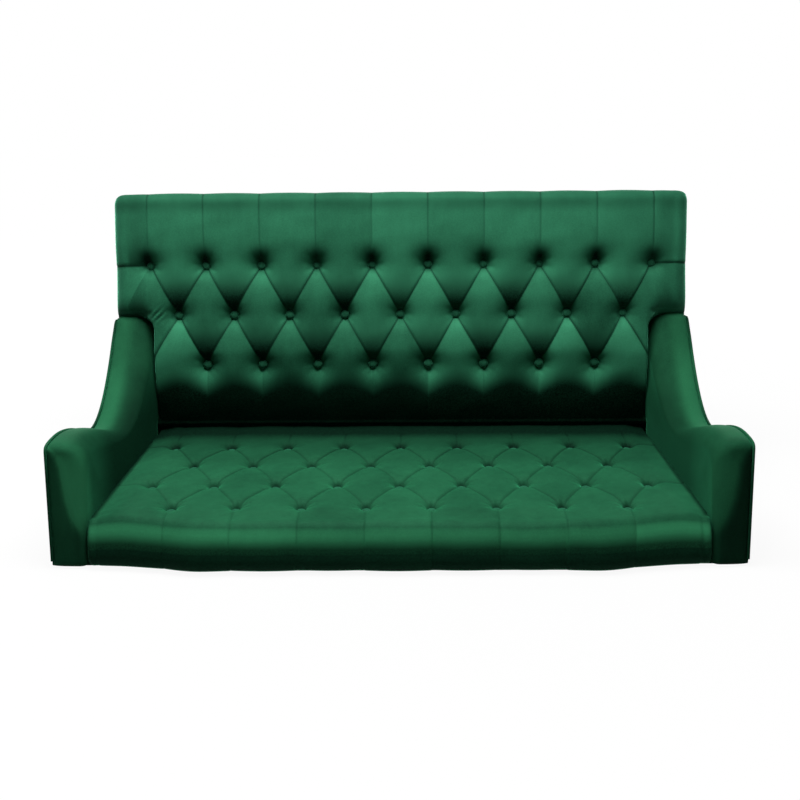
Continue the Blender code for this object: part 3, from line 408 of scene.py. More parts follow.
@dataclass(frozen=True)
class Velvet:
    """Short-pile velvet with sheen, mixed towards a near-black shader without sheen where shade is
    painted.
    """

    deep: Colour = colour(0.0030, 0.022, 0.0112)
    light: Colour = colour(0.035, 0.21, 0.1088)
    fold_shade: Colour = colour(0.0006, 0.006, 0.0030)
    gloss_tint: Colour = colour(0.16, 1.0, 0.52)
    rim_tint: Colour = colour(0.15, 0.80, 0.46)
    # brushed lightens the base colour and depth darkens the colours and sheen: each copy of the
    # velvet is painted lighter or darker.
    brushed: float = 0.0
    depth: float = 1.0
    gloss: float = 0.06
    roughness: float = 0.55
    rim: float = 1.0
    rim_spread: float = 0.35

    def material(self, name: str) -> Finish:
        """Build the finish as a material.

        Args:
            name: Name of the material.

        Returns:
            The material.
        """
        material, graph = start_material(name)
        patches = graph.noise(11.0, 3.0)
        strokes = graph.noise(70.0, 2.0, (1.0, 1.0, 0.35))
        mottle = graph.noise(330.0, 2.0)
        pile = graph.noise(1500.0, 1.0)
        # Painted shade and painted highlights come from the mesh's attributes; the noises above
        # give the pile's random tone.
        fold = graph.attribute(PAINTED_SHADE)
        nap = patches * 0.6 + strokes * 0.25 + mottle * 0.45 + pile * 0.20
        nap = (nap + graph.attribute(TONE_AND_PAINTED_LIGHT) * 0.5 + (self.brushed - 0.25)).between(0.0, 2.0)
        deep, light = (
            colour(*(self.depth * part for part in shade[:3])) for shade in (self.deep, self.light)
        )
        height = pile * 0.7 + strokes * 0.6
        standing = graph.principled(
            {
                "Base Color": graph.blend(nap, deep, light),
                "Roughness": self.roughness - 0.06 + 0.12 * pile,
                "Specular IOR Level": self.gloss,
                "Specular Tint": self.gloss_tint,
                "Sheen Weight": self.rim * self.depth,
                "Sheen Roughness": self.rim_spread,
                "Sheen Tint": self.rim_tint,
                "Normal": graph.bump(height, 0.35, 0.0006),
            }
        )
        # Painted shade: a near-black shader without sheen, mixed in by the painted-shade attribute.
        painted_shade_shader = graph.principled(
            {"Base Color": self.fold_shade, "Roughness": 0.8, "Specular IOR Level": 0.02}
        )
        share = (fold + (mottle - 0.5) * fold * 0.5).between(0.0, 1.0)
        graph.end(graph.either(share, standing, painted_shade_shader))
        return material


@dataclass(frozen=True)
class Timber:
    """Planed, unfinished wood with grain along one axis."""

    pale: Colour = colour(0.62, 0.42, 0.23)
    dark: Colour = colour(0.40, 0.24, 0.11)
    stretch: Place = (0.12, 1.0, 1.0)

    def material(self, name: str) -> Finish:
        """Build the finish as a material.

        Args:
            name: Name of the material.

        Returns:
            The material.
        """
        material, graph = start_material(name)
        grain = graph.noise(90.0, 4.0, self.stretch)
        flecks = graph.noise(420.0, 1.0, self.stretch)
        share = (grain * 0.8 + flecks * 0.4).between(0.35, 0.85)
        shader = graph.principled(
            {
                "Base Color": graph.blend(share, self.dark, self.pale),
                "Roughness": 0.5 + 0.2 * flecks,
                "Normal": graph.bump(grain, 0.2, 0.0005),
            }
        )
        graph.end(shader)
        return material


@dataclass(frozen=True)
class Cloth:
    """Plain lining, webbing or foam: two shades of one colour and a fine surface."""

    pale: Colour
    dark: Colour
    scale: float
    relief: float

    def material(self, name: str) -> Finish:
        """Build the finish as a material.

        Args:
            name: Name of the material.

        Returns:
            The material.
        """
        material, graph = start_material(name)
        cells = graph.noise(self.scale, 2.0)
        drift = graph.noise(14.0, 2.0)
        share = (cells * 0.7 + drift * 0.5).between(0.25, 0.95)
        shader = graph.principled(
            {
                "Base Color": graph.blend(share, self.dark, self.pale),
                "Roughness": 0.8 + 0.2 * cells,
                "Normal": graph.bump(cells, 0.5, self.relief),
            }
        )
        graph.end(shader)
        return material


@dataclass(frozen=True)
class Plated:
    """Bright zinc on stamped steel."""

    pale: Colour = colour(0.68, 0.69, 0.71)
    dark: Colour = colour(0.48, 0.50, 0.53)

    def material(self, name: str) -> Finish:
        """Build the finish as a material.

        Args:
            name: Name of the material.

        Returns:
            The material.
        """
        material, graph = start_material(name)
        bloom = graph.noise(60.0, 3.0)
        brushed = graph.noise(900.0, 1.0, (0.05, 1.0, 1.0))
        shader = graph.principled(
            {
                "Base Color": graph.blend(bloom.between(0.3, 0.7), self.dark, self.pale),
                "Metallic": 1.0,
                "Roughness": 0.28 + 0.12 * bloom + 0.08 * brushed,
                "Normal": graph.bump(brushed, 0.08, 0.0003),
            }
        )
        graph.end(shader)
        return material


@dataclass(frozen=True)
class Pleat:
    """One straight pleat line between two places of a tufted surface."""

    start: Point
    end: Point
    depth: float = 1.0
    raised: int = 0

    def near(self, x: Array, t: Array) -> tuple[Array, Array, Array]:
        """Measure places against the pleat line.

        Args:
            x: First coordinate of each place.
            t: Second coordinate of each place.

        Returns:
            The distance, the side, positive where the cloth lies on top, and the share of the run.
        """
        run_x = self.end[0] - self.start[0]
        run_t = self.end[1] - self.start[1]
        away_x = x - self.start[0]
        away_t = t - self.start[1]
        share = np.clip((away_x * run_x + away_t * run_t) / (run_x**2 + run_t**2), 0.0, 1.0)
        distance = np.hypot(away_x - share * run_x, away_t - share * run_t)
        return distance, self.raised * np.sign(run_x * away_t - run_t * away_x), share


@dataclass
class Tufting:
    """A staggered button lattice and the way that its buttons and pleats draw the cloth in."""

    column: float
    row: float
    limits: tuple[float, ...]
    puff: float
    pit_reach: float
    valley: float
    valley_reach: float
    groove: float
    seed: int
    sag: float = 0.30
    lip: float = 0.0028
    lip_reach: float = 0.014
    groove_reach: float = 0.0022
    pucker: float = 0.0006
    pucker_ring: float = 0.012
    pucker_width: float = 0.010
    button_radius: float = 0.0095
    # From here to line: size and strength of the painted shade above each button, the painted
    # highlight below it, random tone per diamond and painted shade along the pleat grooves.
    dark_half: float = 0.0155
    dark_rise: float = 0.023
    dark_fold: float = 0.078
    lit_half: float = 0.017
    lit_drop: float = 0.016
    glow: float = 0.7
    patchy: float = 0.75
    line: float = 0.8
    weak: float = 1.0

    @property
    def last(self) -> float:
        """Place of the last row."""
        return (len(self.limits) - 1) * self.row

    def buttons(self) -> list[Point]:
        """Return the places of all buttons.

        Returns:
            Places in the lattice's own coordinates.
        """
        places = []
        for row, limit in enumerate(self.limits):
            for step in range(round(2 * limit) + 1):
                places.append(((step - limit) * self.column, row * self.row))
        return places

    def diagonals(self) -> list[Pleat]:
        """Return the folds between buttons of neighbouring rows, each from its lower one.

        Returns:
            The folds.
        """
        folds = []
        for row in range(len(self.limits) - 1):
            for step in range(round(2 * self.limits[row]) + 1):
                column = step - self.limits[row]
                for turn, depth in ((-0.5, self.weak), (0.5, 1.0)):
                    if abs(column + turn) <= self.limits[row + 1]:
                        start = (column * self.column, row * self.row)
                        end = ((column + turn) * self.column, (row + 1) * self.row)
                        folds.append(Pleat(start, end, depth, 1 if turn > 0.0 else -1))
        return folds

    def hollows(self, x: Array, t: Array) -> tuple[Array, Array]:
        """Return painted shade above each button and a painted highlight below it.

        Above a button with two folds the painted shade fills the wedge between them.  Above the
        last row it is a soft oval.

        Args:
            x: First coordinate of each place.
            t: Second coordinate of each place.

        Returns:
            Shares from 0 to 1.
        """
        dark = np.zeros_like(x)
        lit = np.zeros_like(x)
        flank = self.column / 2 / self.row
        draw = np.random.default_rng(self.seed + 2)
        for place_x, place_t in self.buttons():
            strength = draw.uniform(0.75, 1.05)
            across, up = np.abs(x - place_x), t - place_t
            above = (up - 0.6 * self.dark_rise) / self.dark_rise
            below = (up + self.lit_drop) / self.lit_drop
            oval = np.exp(-((across / self.dark_half) ** 2) - above**2)
            if place_t < self.last - 1e-6 and self.dark_fold > 0.0:
                wedge = ease(up * flank - across, -0.0025, 0.0010)
                wedge = wedge * np.exp(-((np.maximum(up, 0.0) / self.dark_fold) ** 3))
                oval = np.maximum(0.6 * oval, wedge)
            dark = np.maximum(dark, strength * oval)
            lit = np.maximum(lit, np.exp(-((across / self.lit_half) ** 2) - below**2))
        return dark, lit

    def patches(self, x: Array, t: Array) -> Array:
        """Return how each diamond's pile lies, from -1 to 1.

        Args:
            x: First coordinate of each place.
            t: Second coordinate of each place.

        Returns:
            One value for each place.
        """
        size = 64
        table = np.random.default_rng(self.seed + 1).uniform(-1.0, 1.0, (size, size))
        level = np.clip(t, 0.0, self.last) / (2 * self.row)
        shift = self.limits[0] % 1.0
        first = np.floor(x / self.column - level + shift + 1e-6).astype(int) + size // 2
        second = np.floor(x / self.column + level + shift + 1e-6).astype(int) + size // 2
        return table[np.clip(first, 0, size - 1), np.clip(second, 0, size - 1)]

    def surface(self, x: Array, t: Array, pleats: Iterable[Pleat]) -> tuple[Array, Array, Array]:
        """Return the cloth's height over the button seats, and its shading.

        Args:
            x: First coordinate of each place.
            t: Second coordinate of each place.
            pleats: All folds of the surface.

        Returns:
            Heights in metres, painted shade, and painted highlights with random tone per diamond.
        """
        draw = np.random.default_rng(self.seed)
        # Buttons: a round pit with fine radial puckers.
        pits = np.zeros_like(x)
        ripples = np.zeros_like(x)
        for place_x, place_t in self.buttons():
            strength, phase = draw.uniform(0.93, 1.05), draw.uniform(0.0, 2.0 * math.pi)
            away = np.hypot(x - place_x, t - place_t)
            angle = np.arctan2(t - place_t, x - place_x)
            past = np.maximum(away - 0.6 * self.button_radius, 0.0)
            pits += strength * np.exp(-past / (self.pit_reach * (1.0 - self.sag * np.sin(angle))))
            star = np.cos(9.0 * angle + phase) + 0.6 * np.cos(5.0 * angle - phase)
            ripples += star * np.exp(-((past - self.pucker_ring) ** 2) / self.pucker_width**2)
        pits = np.minimum(pits, 1.0)
        # Pleats: a wide valley, a narrow groove and one lip that laps over it.
        valley = np.zeros_like(x)
        groove = np.zeros_like(x)
        lip = np.zeros_like(x)
        for pleat in pleats:
            away, side, share = pleat.near(x, t)
            valley = np.maximum(valley, pleat.depth * np.exp(-away / self.valley_reach))
            cut = pleat.depth * np.exp(-((away / self.groove_reach) ** 1.4))
            groove = np.maximum(groove, cut)
            rise = pleat.depth * side * np.exp(-away / self.lip_reach)
            rise = rise * (1.0 - 0.6 * share) * (away > 1e-5)
            lip = np.where(np.abs(rise) > np.abs(lip), rise, lip)
        height = self.puff * (1.0 - pits)
        height -= self.valley * valley * (1.0 - 0.8 * pits)
        height -= self.groove * groove
        lip = np.where(lip > 0.0, lip, 0.6 * lip)
        height += self.lip * lip * (1.0 - pits) + self.pucker * ripples
        # Painted shade along the pleat grooves and above the buttons, painted highlights below
        # them.
        dark, lit = self.hollows(x, t)
        fold = np.clip(np.maximum(self.line * groove, dark), 0.0, 1.0)
        return height, fold, self.glow * lit + self.patchy * self.patches(x, t)


def triangulate(grid: Array, low: Array) -> list[tuple[int, int, int]]:
    """Split a grid of corners into triangles, along valleys.

    Args:
        grid: Corner numbers by row and column.
        low: Height of each of those corners.

    Returns:
        Corner numbers of the triangles.
    """
    a, b = grid[:-1, :-1], grid[:-1, 1:]
    c, d = grid[1:, 1:], grid[1:, :-1]
    rising = low[:-1, :-1] + low[1:, 1:] <= low[:-1, 1:] + low[1:, :-1]
    first = np.where(rising[..., None], np.stack([a, b, c], -1), np.stack([a, b, d], -1))
    second = np.where(rising[..., None], np.stack([a, c, d], -1), np.stack([b, c, d], -1))
    return np.concatenate([first.reshape(-1, 3), second.reshape(-1, 3)]).tolist()


def border(rows: int, columns: int) -> list[tuple[int, int]]:
    """Return the row and column of a grid's border places, once round.

    Args:
        rows: Number of rows.
        columns: Number of columns.

    Returns:
        The places in order.
    """
    around = [(0, i) for i in range(columns - 1)]
    around += [(j, columns - 1) for j in range(rows - 1)]
    around += [(rows - 1, i) for i in range(columns - 1, 0, -1)]
    around += [(j, 0) for j in range(rows - 1, 0, -1)]
    return around


def join_loops(loops: Sequence[Sequence[int]]) -> list[tuple[int, ...]]:
    """Bridge rings of corners of equal length.

    Args:
        loops: Corner numbers of each ring.

    Returns:
        Corner numbers of the faces.
    """
    faces = []
    for first, second in zip(loops, loops[1:]):
        for step in range(len(first)):
            after = (step + 1) % len(first)
            faces.append((first[step], first[after], second[after], second[step]))
    return faces


def rings(count: int, size: int, first: int = 0) -> list[list[int]]:
    """Return the corner numbers of rings that follow each other."""
    return [[first + ring * size + step for step in range(size)] for ring in range(count)]


def quarter_turns(count: int) -> list[float]:
    """Return even turns from above 0 to a quarter turn."""
    return [QUARTER * (step + 1) / count for step in range(count)]


def clearance(edge: Array, place: Vector) -> float:
    """Return how far a place lies from the nearest point of an outline."""
    return float(np.hypot(*(edge - (place.x, place.y)).T).min())


def fill(loop: Sequence[Point], pitch: float) -> tuple[list[Vector], list[list[int]]]:
    """Fill a flat outline with even triangles.

    Args:
        loop: The outline's points.
        pitch: Spacing of the places added inside it.

    Returns:
        Places, the outline's first, and the triangles.
    """
    spots = [Vector(point) for point in loop]
    edge = np.array(loop)
    low, high = edge.min(axis=0), edge.max(axis=0)
    for a in np.arange(low[0] + pitch, high[0], pitch):
        for b in np.arange(low[1] + pitch, high[1], pitch):
            if np.hypot(*(edge - (a, b)).T).min() > 0.6 * pitch:
                spots.append(Vector((a, b)))
    ring = [(step, (step + 1) % len(loop)) for step in range(len(loop))]
    places, _, faces, _, _, _ = delaunay_2d_cdt(spots, ring, [], 1, 1e-7)
    if len(places) != len(spots):
        LOG.warning("outline filled with %d of %d places", len(places), len(spots))
    return places, faces


def board(
    loop: Sequence[Point], pitch: float, rear: float, domes: Sequence[Point]
) -> tuple[Array, list[tuple[int, ...]]]:
    """Build a closed flat panel with a softly domed face.

    Args:
        loop: The panel's outline.
        pitch: Spacing of the places inside it.
        rear: Level of the panel's rear.
        domes: Height and reach of each part of the dome.

    Returns:
        Corners as two coordinates of the outline and a level, and faces.
    """
    edge_thickness = 0.0008
    places, triangles = fill(loop, pitch)
    edge = np.array(loop)
    levels = []
    for place in places:
        away = clearance(edge, place)
        rise = sum(height * (1.0 - math.exp(-away / reach)) for height, reach in domes)
        levels.append(rear + edge_thickness + rise)
    count = len(places)
    flat = [tuple(place) for place in places]
    corners = np.column_stack((flat + flat, levels + [rear] * count))
    faces = [tuple(face) for face in triangles]
    faces += [tuple(count + index for index in reversed(face)) for face in triangles]
    return corners, faces + join_loops(rings(1, len(loop)) + rings(1, len(loop), count))


def upholster(
    name: str, face: Array, height: Array, rims: Sequence[Any], fold: Array, nap: Array
) -> Piece:
    """Build a closed cushion from its gridded face, rings behind its border and a lining.

    Args:
        name: Name of the piece.
        face: Places of the face by row and column.
        height: Height of each of those places over the button seats.
        rims: Places of each ring, in the border's order.
        fold: Painted shade at each corner, face first and rings after it.
        nap: Painted highlights and random tone at each corner, in the same order.

    Returns:
        The new object.
    """
    rows, columns = face.shape[:2]
    numbers = np.arange(rows * columns).reshape(rows, columns)
    loops = [[int(numbers[j, i]) for j, i in border(rows, columns)]]
    loops += rings(len(rims), len(loops[0]), rows * columns)
    faces = triangulate(numbers, height) + join_loops(loops) + [tuple(loops[-1])]
    piece = add_mesh(name, np.concatenate([face.reshape(-1, 3), *rims]), faces)
    set_shading(piece, fold, nap)
    turn_outwards(piece)
    return piece


@dataclass(frozen=True)
class BackShade:
    """Painted shade and painted highlights on parts of the back.

    The photograph is darker on the left, so some shares lose a part on the right.
    """

    top_band: float = 0.3
    top_roll: float = 0.2
    end_hollow: float = 0.55
    end_hollow_right: float = 0.35
    pocket: float = 0.35
    pocket_right: float = 0.35
    gather_dark: float = 0.9
    gather_light: float = 1.2
    lumbar_lit: float = 0.06
    upper: float = 0.25
    end_bay: float = 1.0
    over_wing: float = 1.2


@dataclass
class BackCushion:
    """The leaning, tufted back, modelled upright in its own frame.

    There x runs across, depth runs to the rear from the button seats, and t runs up the slope
    from the lowest row of buttons.
    """

    recline: float = math.radians(14.0)
    origin_y: float = 0.180787
    origin_z: float = 0.242
    half: float = 0.628
    top: float = 0.3765
    drop: float = 0.140
    side_fall: float = 0.014
    side_round: float = 0.027
    top_round: float = 0.025
    low_round: float = 0.012
    lumbar_tuck: float = 0.058
    lumbar_start: float = 0.030
    rear: float = 0.0884
    lining: float = 0.0523
    skirt: float = 0.0025
    parts: int = 26
    edge_parts: int = 8
    band_set_back: float = 0.0130
    band_low: float = 0.0250
    band_run: float = 0.293
    wing_inner: float = 0.5445
    wing_top: float = 0.1075
    wing_crown: float = 0.593
    wing_round: float = 0.034
    wing_gap: float = 0.006
    wing_press: float = 0.0090
    under_roll: float = 0.046
    bay_swell: float = 0.0020
    scallop: float = 0.0012
    gather: float = 0.0022
    square: float = 0.35
    hip_left: float = 0.0110
    hip_right: float = 0.0080
    top_fall: float = 0.0036
    shade: BackShade = BackShade()

    def __post_init__(self) -> None:
        """Set up the button lattice."""
        self.tufting = Tufting(
            column=0.122,
            row=0.1087,
            limits=(3.5, 4.0, 4.5),
            puff=0.034,
            pit_reach=0.027,
            valley=0.0026,
            valley_reach=0.016,
            groove=0.0012,
            groove_reach=0.0014,
            sag=0.40,
            seed=11,
        )
        self.x_edge = self.half - self.side_round
        self.t_low = -self.drop + self.low_round
        self.t_high = self.top - self.top_round

    def to_world(self, x: Any, depth: Any, t: Any) -> Array:
        """Turn places of the back's own frame into the room's.

        Args:
            x: Places across.
            depth: Depths to the rear.
            t: Places up the slope.

        Returns:
            The places, with x, y and z last.
        """
        lean, up = math.sin(self.recline), math.cos(self.recline)
        x, depth, t = np.broadcast_arrays(x, depth, t)
        y = self.origin_y + depth * up + t * lean
        return np.stack([x, y, self.origin_z - depth * lean + t * up], -1)

    def slope_at(self, depth: float, height: float) -> float:
        """Return the place up the slope where a plane of the back reaches a height."""
        return (height - self.origin_z + depth * math.sin(self.recline)) / math.cos(self.recline)

    def facing(self) -> Vector:
        """Return the direction that the back faces."""
        return Vector((0.0, -math.cos(self.recline), math.sin(self.recline)))

    def pleats(self) -> list[Pleat]:
        """Return the folds of the back: diamonds, and straight runs to the edges.

        Returns:
            The folds.
        """
        grid = self.tufting
        folds = grid.diagonals()
        side = (grid.limits[1] * grid.column, grid.row)
        hidden = ((grid.limits[1] + 0.5) * grid.column, 0.0)
        folds.append(Pleat(hidden, side, 1.0, -1))
        folds.append(Pleat((-hidden[0], 0.0), (-side[0], side[1]), 1.0, 1))
        for x, t in grid.buttons():
            if t == 0.0:
                folds.append(Pleat((x, -0.4 * self.drop), (x, 0.0), 0.15))
            if t == 2 * grid.row:
                folds.append(Pleat((x, t), (x, self.top), 0.45))
        end, level = grid.limits[-1] * grid.column, 2 * grid.row
        folds.append(Pleat((end, level), (self.half, level), 1.0, 1))
        folds.append(Pleat((-self.half, level), (-end, level), 1.0, 1))
        return folds

    def stations(self, low: float, high: float, pitch: float) -> list[float]:
        """Return lattice lines between two places, with the places themselves at the ends.

        Args:
            low: First place.
            high: Last place.
            pitch: Distance between lines.

        Returns:
            The places in order.
        """
        first = math.ceil(low / pitch + 0.3)
        last = math.floor(high / pitch - 0.3)
        return [low] + [step * pitch for step in range(first, last + 1)] + [high]

    def places(self) -> tuple[Array, Array, Array, Array]:
        """Return the grid's places across and up, and how far each is turned over the edges.

        Returns:
            Places across and up the slope, and turns across and up from -1 to 1.
        """
        grid = self.tufting
        turns = [math.sin(turn) for turn in quarter_turns(self.edge_parts)]
        flat, over = [], []
        for low, high, pitch in (
            (-self.x_edge, self.x_edge, grid.column / 2 / self.parts),
            (self.t_low, self.t_high, grid.row / self.parts),
        ):
            inside = self.stations(low, high, pitch)
            flat.append([low] * len(turns) + inside + [high] * len(turns))
            over.append([-turn for turn in reversed(turns)] + [0.0] * len(inside) + turns)
        return (*np.meshgrid(*flat), *np.meshgrid(*over))

    def bays(self, x: Array) -> Array:
        """Return 0 at the straight pleats and 1 between them."""
        return np.abs(np.cos(math.pi * x / self.tufting.column))

    def in_wing(self, x: Array, t: Array) -> Array:
        """Return 1 behind the arms' wings, 0 clear of them.

        Args:
            x: Places across.
            t: Places up the slope.

        Returns:
            One value for each place.
        """
        run = self.wing_crown - self.wing_inner
        across = np.maximum(self.wing_crown - np.abs(x), 0.0) / run
        above = np.maximum(t - (self.wing_top - self.wing_round), 0.0) / self.wing_round
        return 1.0 - ease((np.hypot(across, above) - 1.0) * self.wing_round, 0.0, 0.004)

    def over_wing(self, x: Array, t: Array) -> Array:
        """Return how far the cloth rolls in towards the wings' tops, from 0 to 1.

        Args:
            x: Places across.
            t: Places up the slope.

        Returns:
            One value for each place.
        """
        above = self.wing_top + self.wing_gap + self.under_roll - t
        share = np.clip(above / self.under_roll, 0.0, 1.0)
        across = ease(np.abs(x), self.wing_inner - 0.010, self.wing_inner + 0.040)
        return (1.0 - np.sqrt(1.0 - share**2)) * across

    def wrinkles(self, x: Array, t: Array) -> Array:
        """Return the small slanting gathers beside the left wing's top, from -1 to 1.

        Args:
            x: Places across.
            t: Places up the slope.

        Returns:
            One value for each place.
        """
        away_x = np.abs(x) - (self.wing_inner - 0.013)
        away_t = t - (self.wing_top + 0.002)
        across = (away_x + away_t) / math.sqrt(2.0)
        along = (away_x - away_t) / math.sqrt(2.0)
        patch = np.exp(-((across / 0.013) ** 2) - (along / 0.015) ** 2)
        return np.cos(across * 2.0 * math.pi / 0.010) * patch * (x < 0.0)

    def relief(self, x: Array, t: Array, height: Array) -> Array:
        """Shape the tufted height: tuck the lumbar in and make room for the wings.

        Args:
            x: Places across.
            t: Places up the slope.
            height: Height of the tufts.

        Returns:
            The final height over the button seats.
        """
        height += self.bay_swell * self.bays(x) * ease(t, 2.1 * self.tufting.row, self.top)
        low = np.clip((self.lumbar_start - t) / (self.lumbar_start - self.t_low), 0.0, 1.0)
        height -= self.lumbar_tuck * low**1.6
        height += 0.0012 * waves(x, t, 0.16, 5) + 0.0004 * waves(x, t, 0.05, 6)
        height += self.gather * self.wrinkles(x, t)
        height -= self.side_fall * ease(np.abs(x), self.wing_inner - 0.005, self.x_edge) ** 1.5
        height += (-self.wing_press - height) * self.over_wing(x, t)
        behind = self.in_wing(x, t)
        deeper = (self.band_low - self.band_set_back) * (self.wing_top - t) / self.band_run
        return height * (1.0 - behind) - (self.band_set_back + deeper) * behind

    def shading(self, x: Array, t: Array, q: Array, fold: Array, nap: Array) -> tuple[Array, Array]:
        """Paint shade on the lumbar, the upper band, the ends of the rows and the wings' pockets,
        and paint highlights on the gathers and the right end.

        Args:
            x: Places across.
            t: Places up the slope.
            q: How far each is turned over the upper and lower edge.
            fold: The tufts' painted shade.
            nap: The tufts' painted highlights and random tone.

        Returns:
            The final painted shade and painted light.
        """
        shade, bays, wide = self.shade, self.bays(x), np.abs(x)
        end, level = self.tufting.limits[-1] * self.tufting.column, 2 * self.tufting.row
        right = 1.0 * (x > 0.0)
        gathers, over_wing = self.wrinkles(x, t), self.over_wing(x, t)
        # Painted shade on the top band and roll, the row ends, the pockets over the wings, the
        # gathers and the lumbar under its overhang.
        fold = fold + shade.top_band * ease(t, self.top - 0.055, self.top - 0.030)
        fold = fold + shade.top_roll * np.maximum(q, 0.0)
        hollow = ease(wide, end - 0.010, end + 0.010)
        hollow = hollow * (1.0 - ease(t, level + 0.004, level + 0.050)) * (t > level)
        hollow = (shade.end_hollow - shade.end_hollow_right * right) * hollow
        fold = fold + hollow * (1.0 - ease(wide, 0.590, self.x_edge))
        pocket = np.sqrt(over_wing) * (1.0 - 0.8 * ease(wide, 0.588, self.x_edge))
        fold = fold + (shade.pocket - shade.pocket_right * right) * pocket
        fold = fold + shade.gather_dark * np.maximum(-gathers, 0.0)
        low = np.clip((-t - 0.036 + 0.034 * bays) / (0.046 + 0.012 * bays), 0.0, 1.0)
        fold = np.clip(fold + low * low * (3.0 - 2.0 * low), 0.0, 1.0 - shade.lumbar_lit * low)
        # Painted highlights on the gathers, the right end bay and over the right wing, and less
        # light above the top row.
        nap = nap + shade.gather_light * np.maximum(gathers, 0.0)
        nap = nap - shade.upper * ease(t, level, level + 0.04)
        end_bay = right * (t > level) * ease(x, end - 0.002, end + 0.002)
        return fold, nap + shade.end_bay * end_bay + shade.over_wing * right * over_wing

    def build(self, material: Finish) -> Piece:
        """Build the tufted cushion with its rolled edges, skirt and lining.

        Args:
            material: The cushion's velvet.

        Returns:
            The finished piece.
        """
        x, t, p, q = self.places()
        height, fold, nap = self.tufting.surface(x, t, self.pleats())
        height = self.relief(x, t, height)
        fold, nap = self.shading(x, t, q, fold, nap)

        # The border rolls over the edges, and the two turns share a corner as on a ball.
        roll_t = np.where(q < 0.0, self.low_round, self.top_round)
        p_out = p * np.sqrt(1.0 - q**2 / 2)
        q_out = q * np.sqrt(1.0 - p**2 / 2)
        rolled = 1.0 - np.sqrt(np.clip(1.0 - p_out**2 - q_out**2, 0.0, 1.0))
        roll_x = self.side_round * (1.0 - 0.85 * self.over_wing(x, t))
        front = rolled * np.where(np.abs(p) > np.abs(q), roll_x, roll_t) - height
        # The upper corners are squarer than a ball, and slope off towards the sides.
        square = np.where(q > 0.0, self.square, 1.0)
        x_out = x + self.side_round * p * np.sqrt(1.0 - square * q**2 / 2)
        t_out = t + roll_t * q * np.sqrt(1.0 - square * p**2 / 2)
        hip = np.where(x < 0.0, self.hip_left, self.hip_right)
        hip = hip * ((x_out - x) / self.side_round) ** 4
        scallop = self.scallop * self.bays(x) * (1.0 - np.abs(p))
        t_rear = t_out + (scallop - hip) * np.maximum(q, 0.0)
        t_out = t_rear - self.top_fall * np.maximum(q, 0.0)

        # A skirt runs back from the border, turns in and ends at the lining.
        ring = border(*x.shape)
        around = tuple(np.array(ring).T)
        x_rim, t_rim, front_rim, t_back = (v[around] for v in (x_out, t_out, front, t_rear))
        rear = np.where(q[around] < -0.99, self.lining, self.rear)
        rims = []
        for share in (0.33, 0.66, 1.0):
            rise = (t_back - t_rim) * min(1.5 * share, 1.0)
            rims.append(self.to_world(x_rim, mix(front_rim, rear, share), t_rim + rise))
        middle = (self.top - self.drop) / 2
        t_in = mix(middle, t_back, 1.0 - 2 * self.skirt / (self.top + self.drop))
        for depth in (rear, self.lining):
            rims.append(self.to_world(x_rim * (1.0 - self.skirt / self.half), depth, t_in))
        fold = np.append(fold.ravel(), np.tile(fold[around], len(rims)))
        nap = np.append(nap.ravel(), np.zeros(len(rims) * len(ring)))
        face = self.to_world(x_out, front, t_out)
        piece = upholster("back_cushion", face, height, rims, fold, nap)
        dress(piece, material, "green_velvet", "back_tufted_cover", "back_foam")
        return piece


class Strip(Enum):
    """The strips of the seat's cover, from the front's lower edge to the rear."""

    FACE = 0
    ROLL = 1
    FRONT = 2
    FIELD = 3
    REAR = 4
    BACK = 5


@dataclass(frozen=True)
class SeatShade:
    """Painted shade and painted highlights on parts of the seat."""

    face: float = 0.83
    edge: float = 0.9
    roll: float = 1.9
    roll_left: float = 0.8
    roll_end: float = 1.1
    roll_crease: float = 0.45
    rear_shares: tuple[float, ...] = (0.28, 0.32, 0.45)
    rear_starts: tuple[float, ...] = (-0.10, 0.0, 0.08)
    rear_ends: tuple[float, ...] = (0.02, 0.11, 0.145)


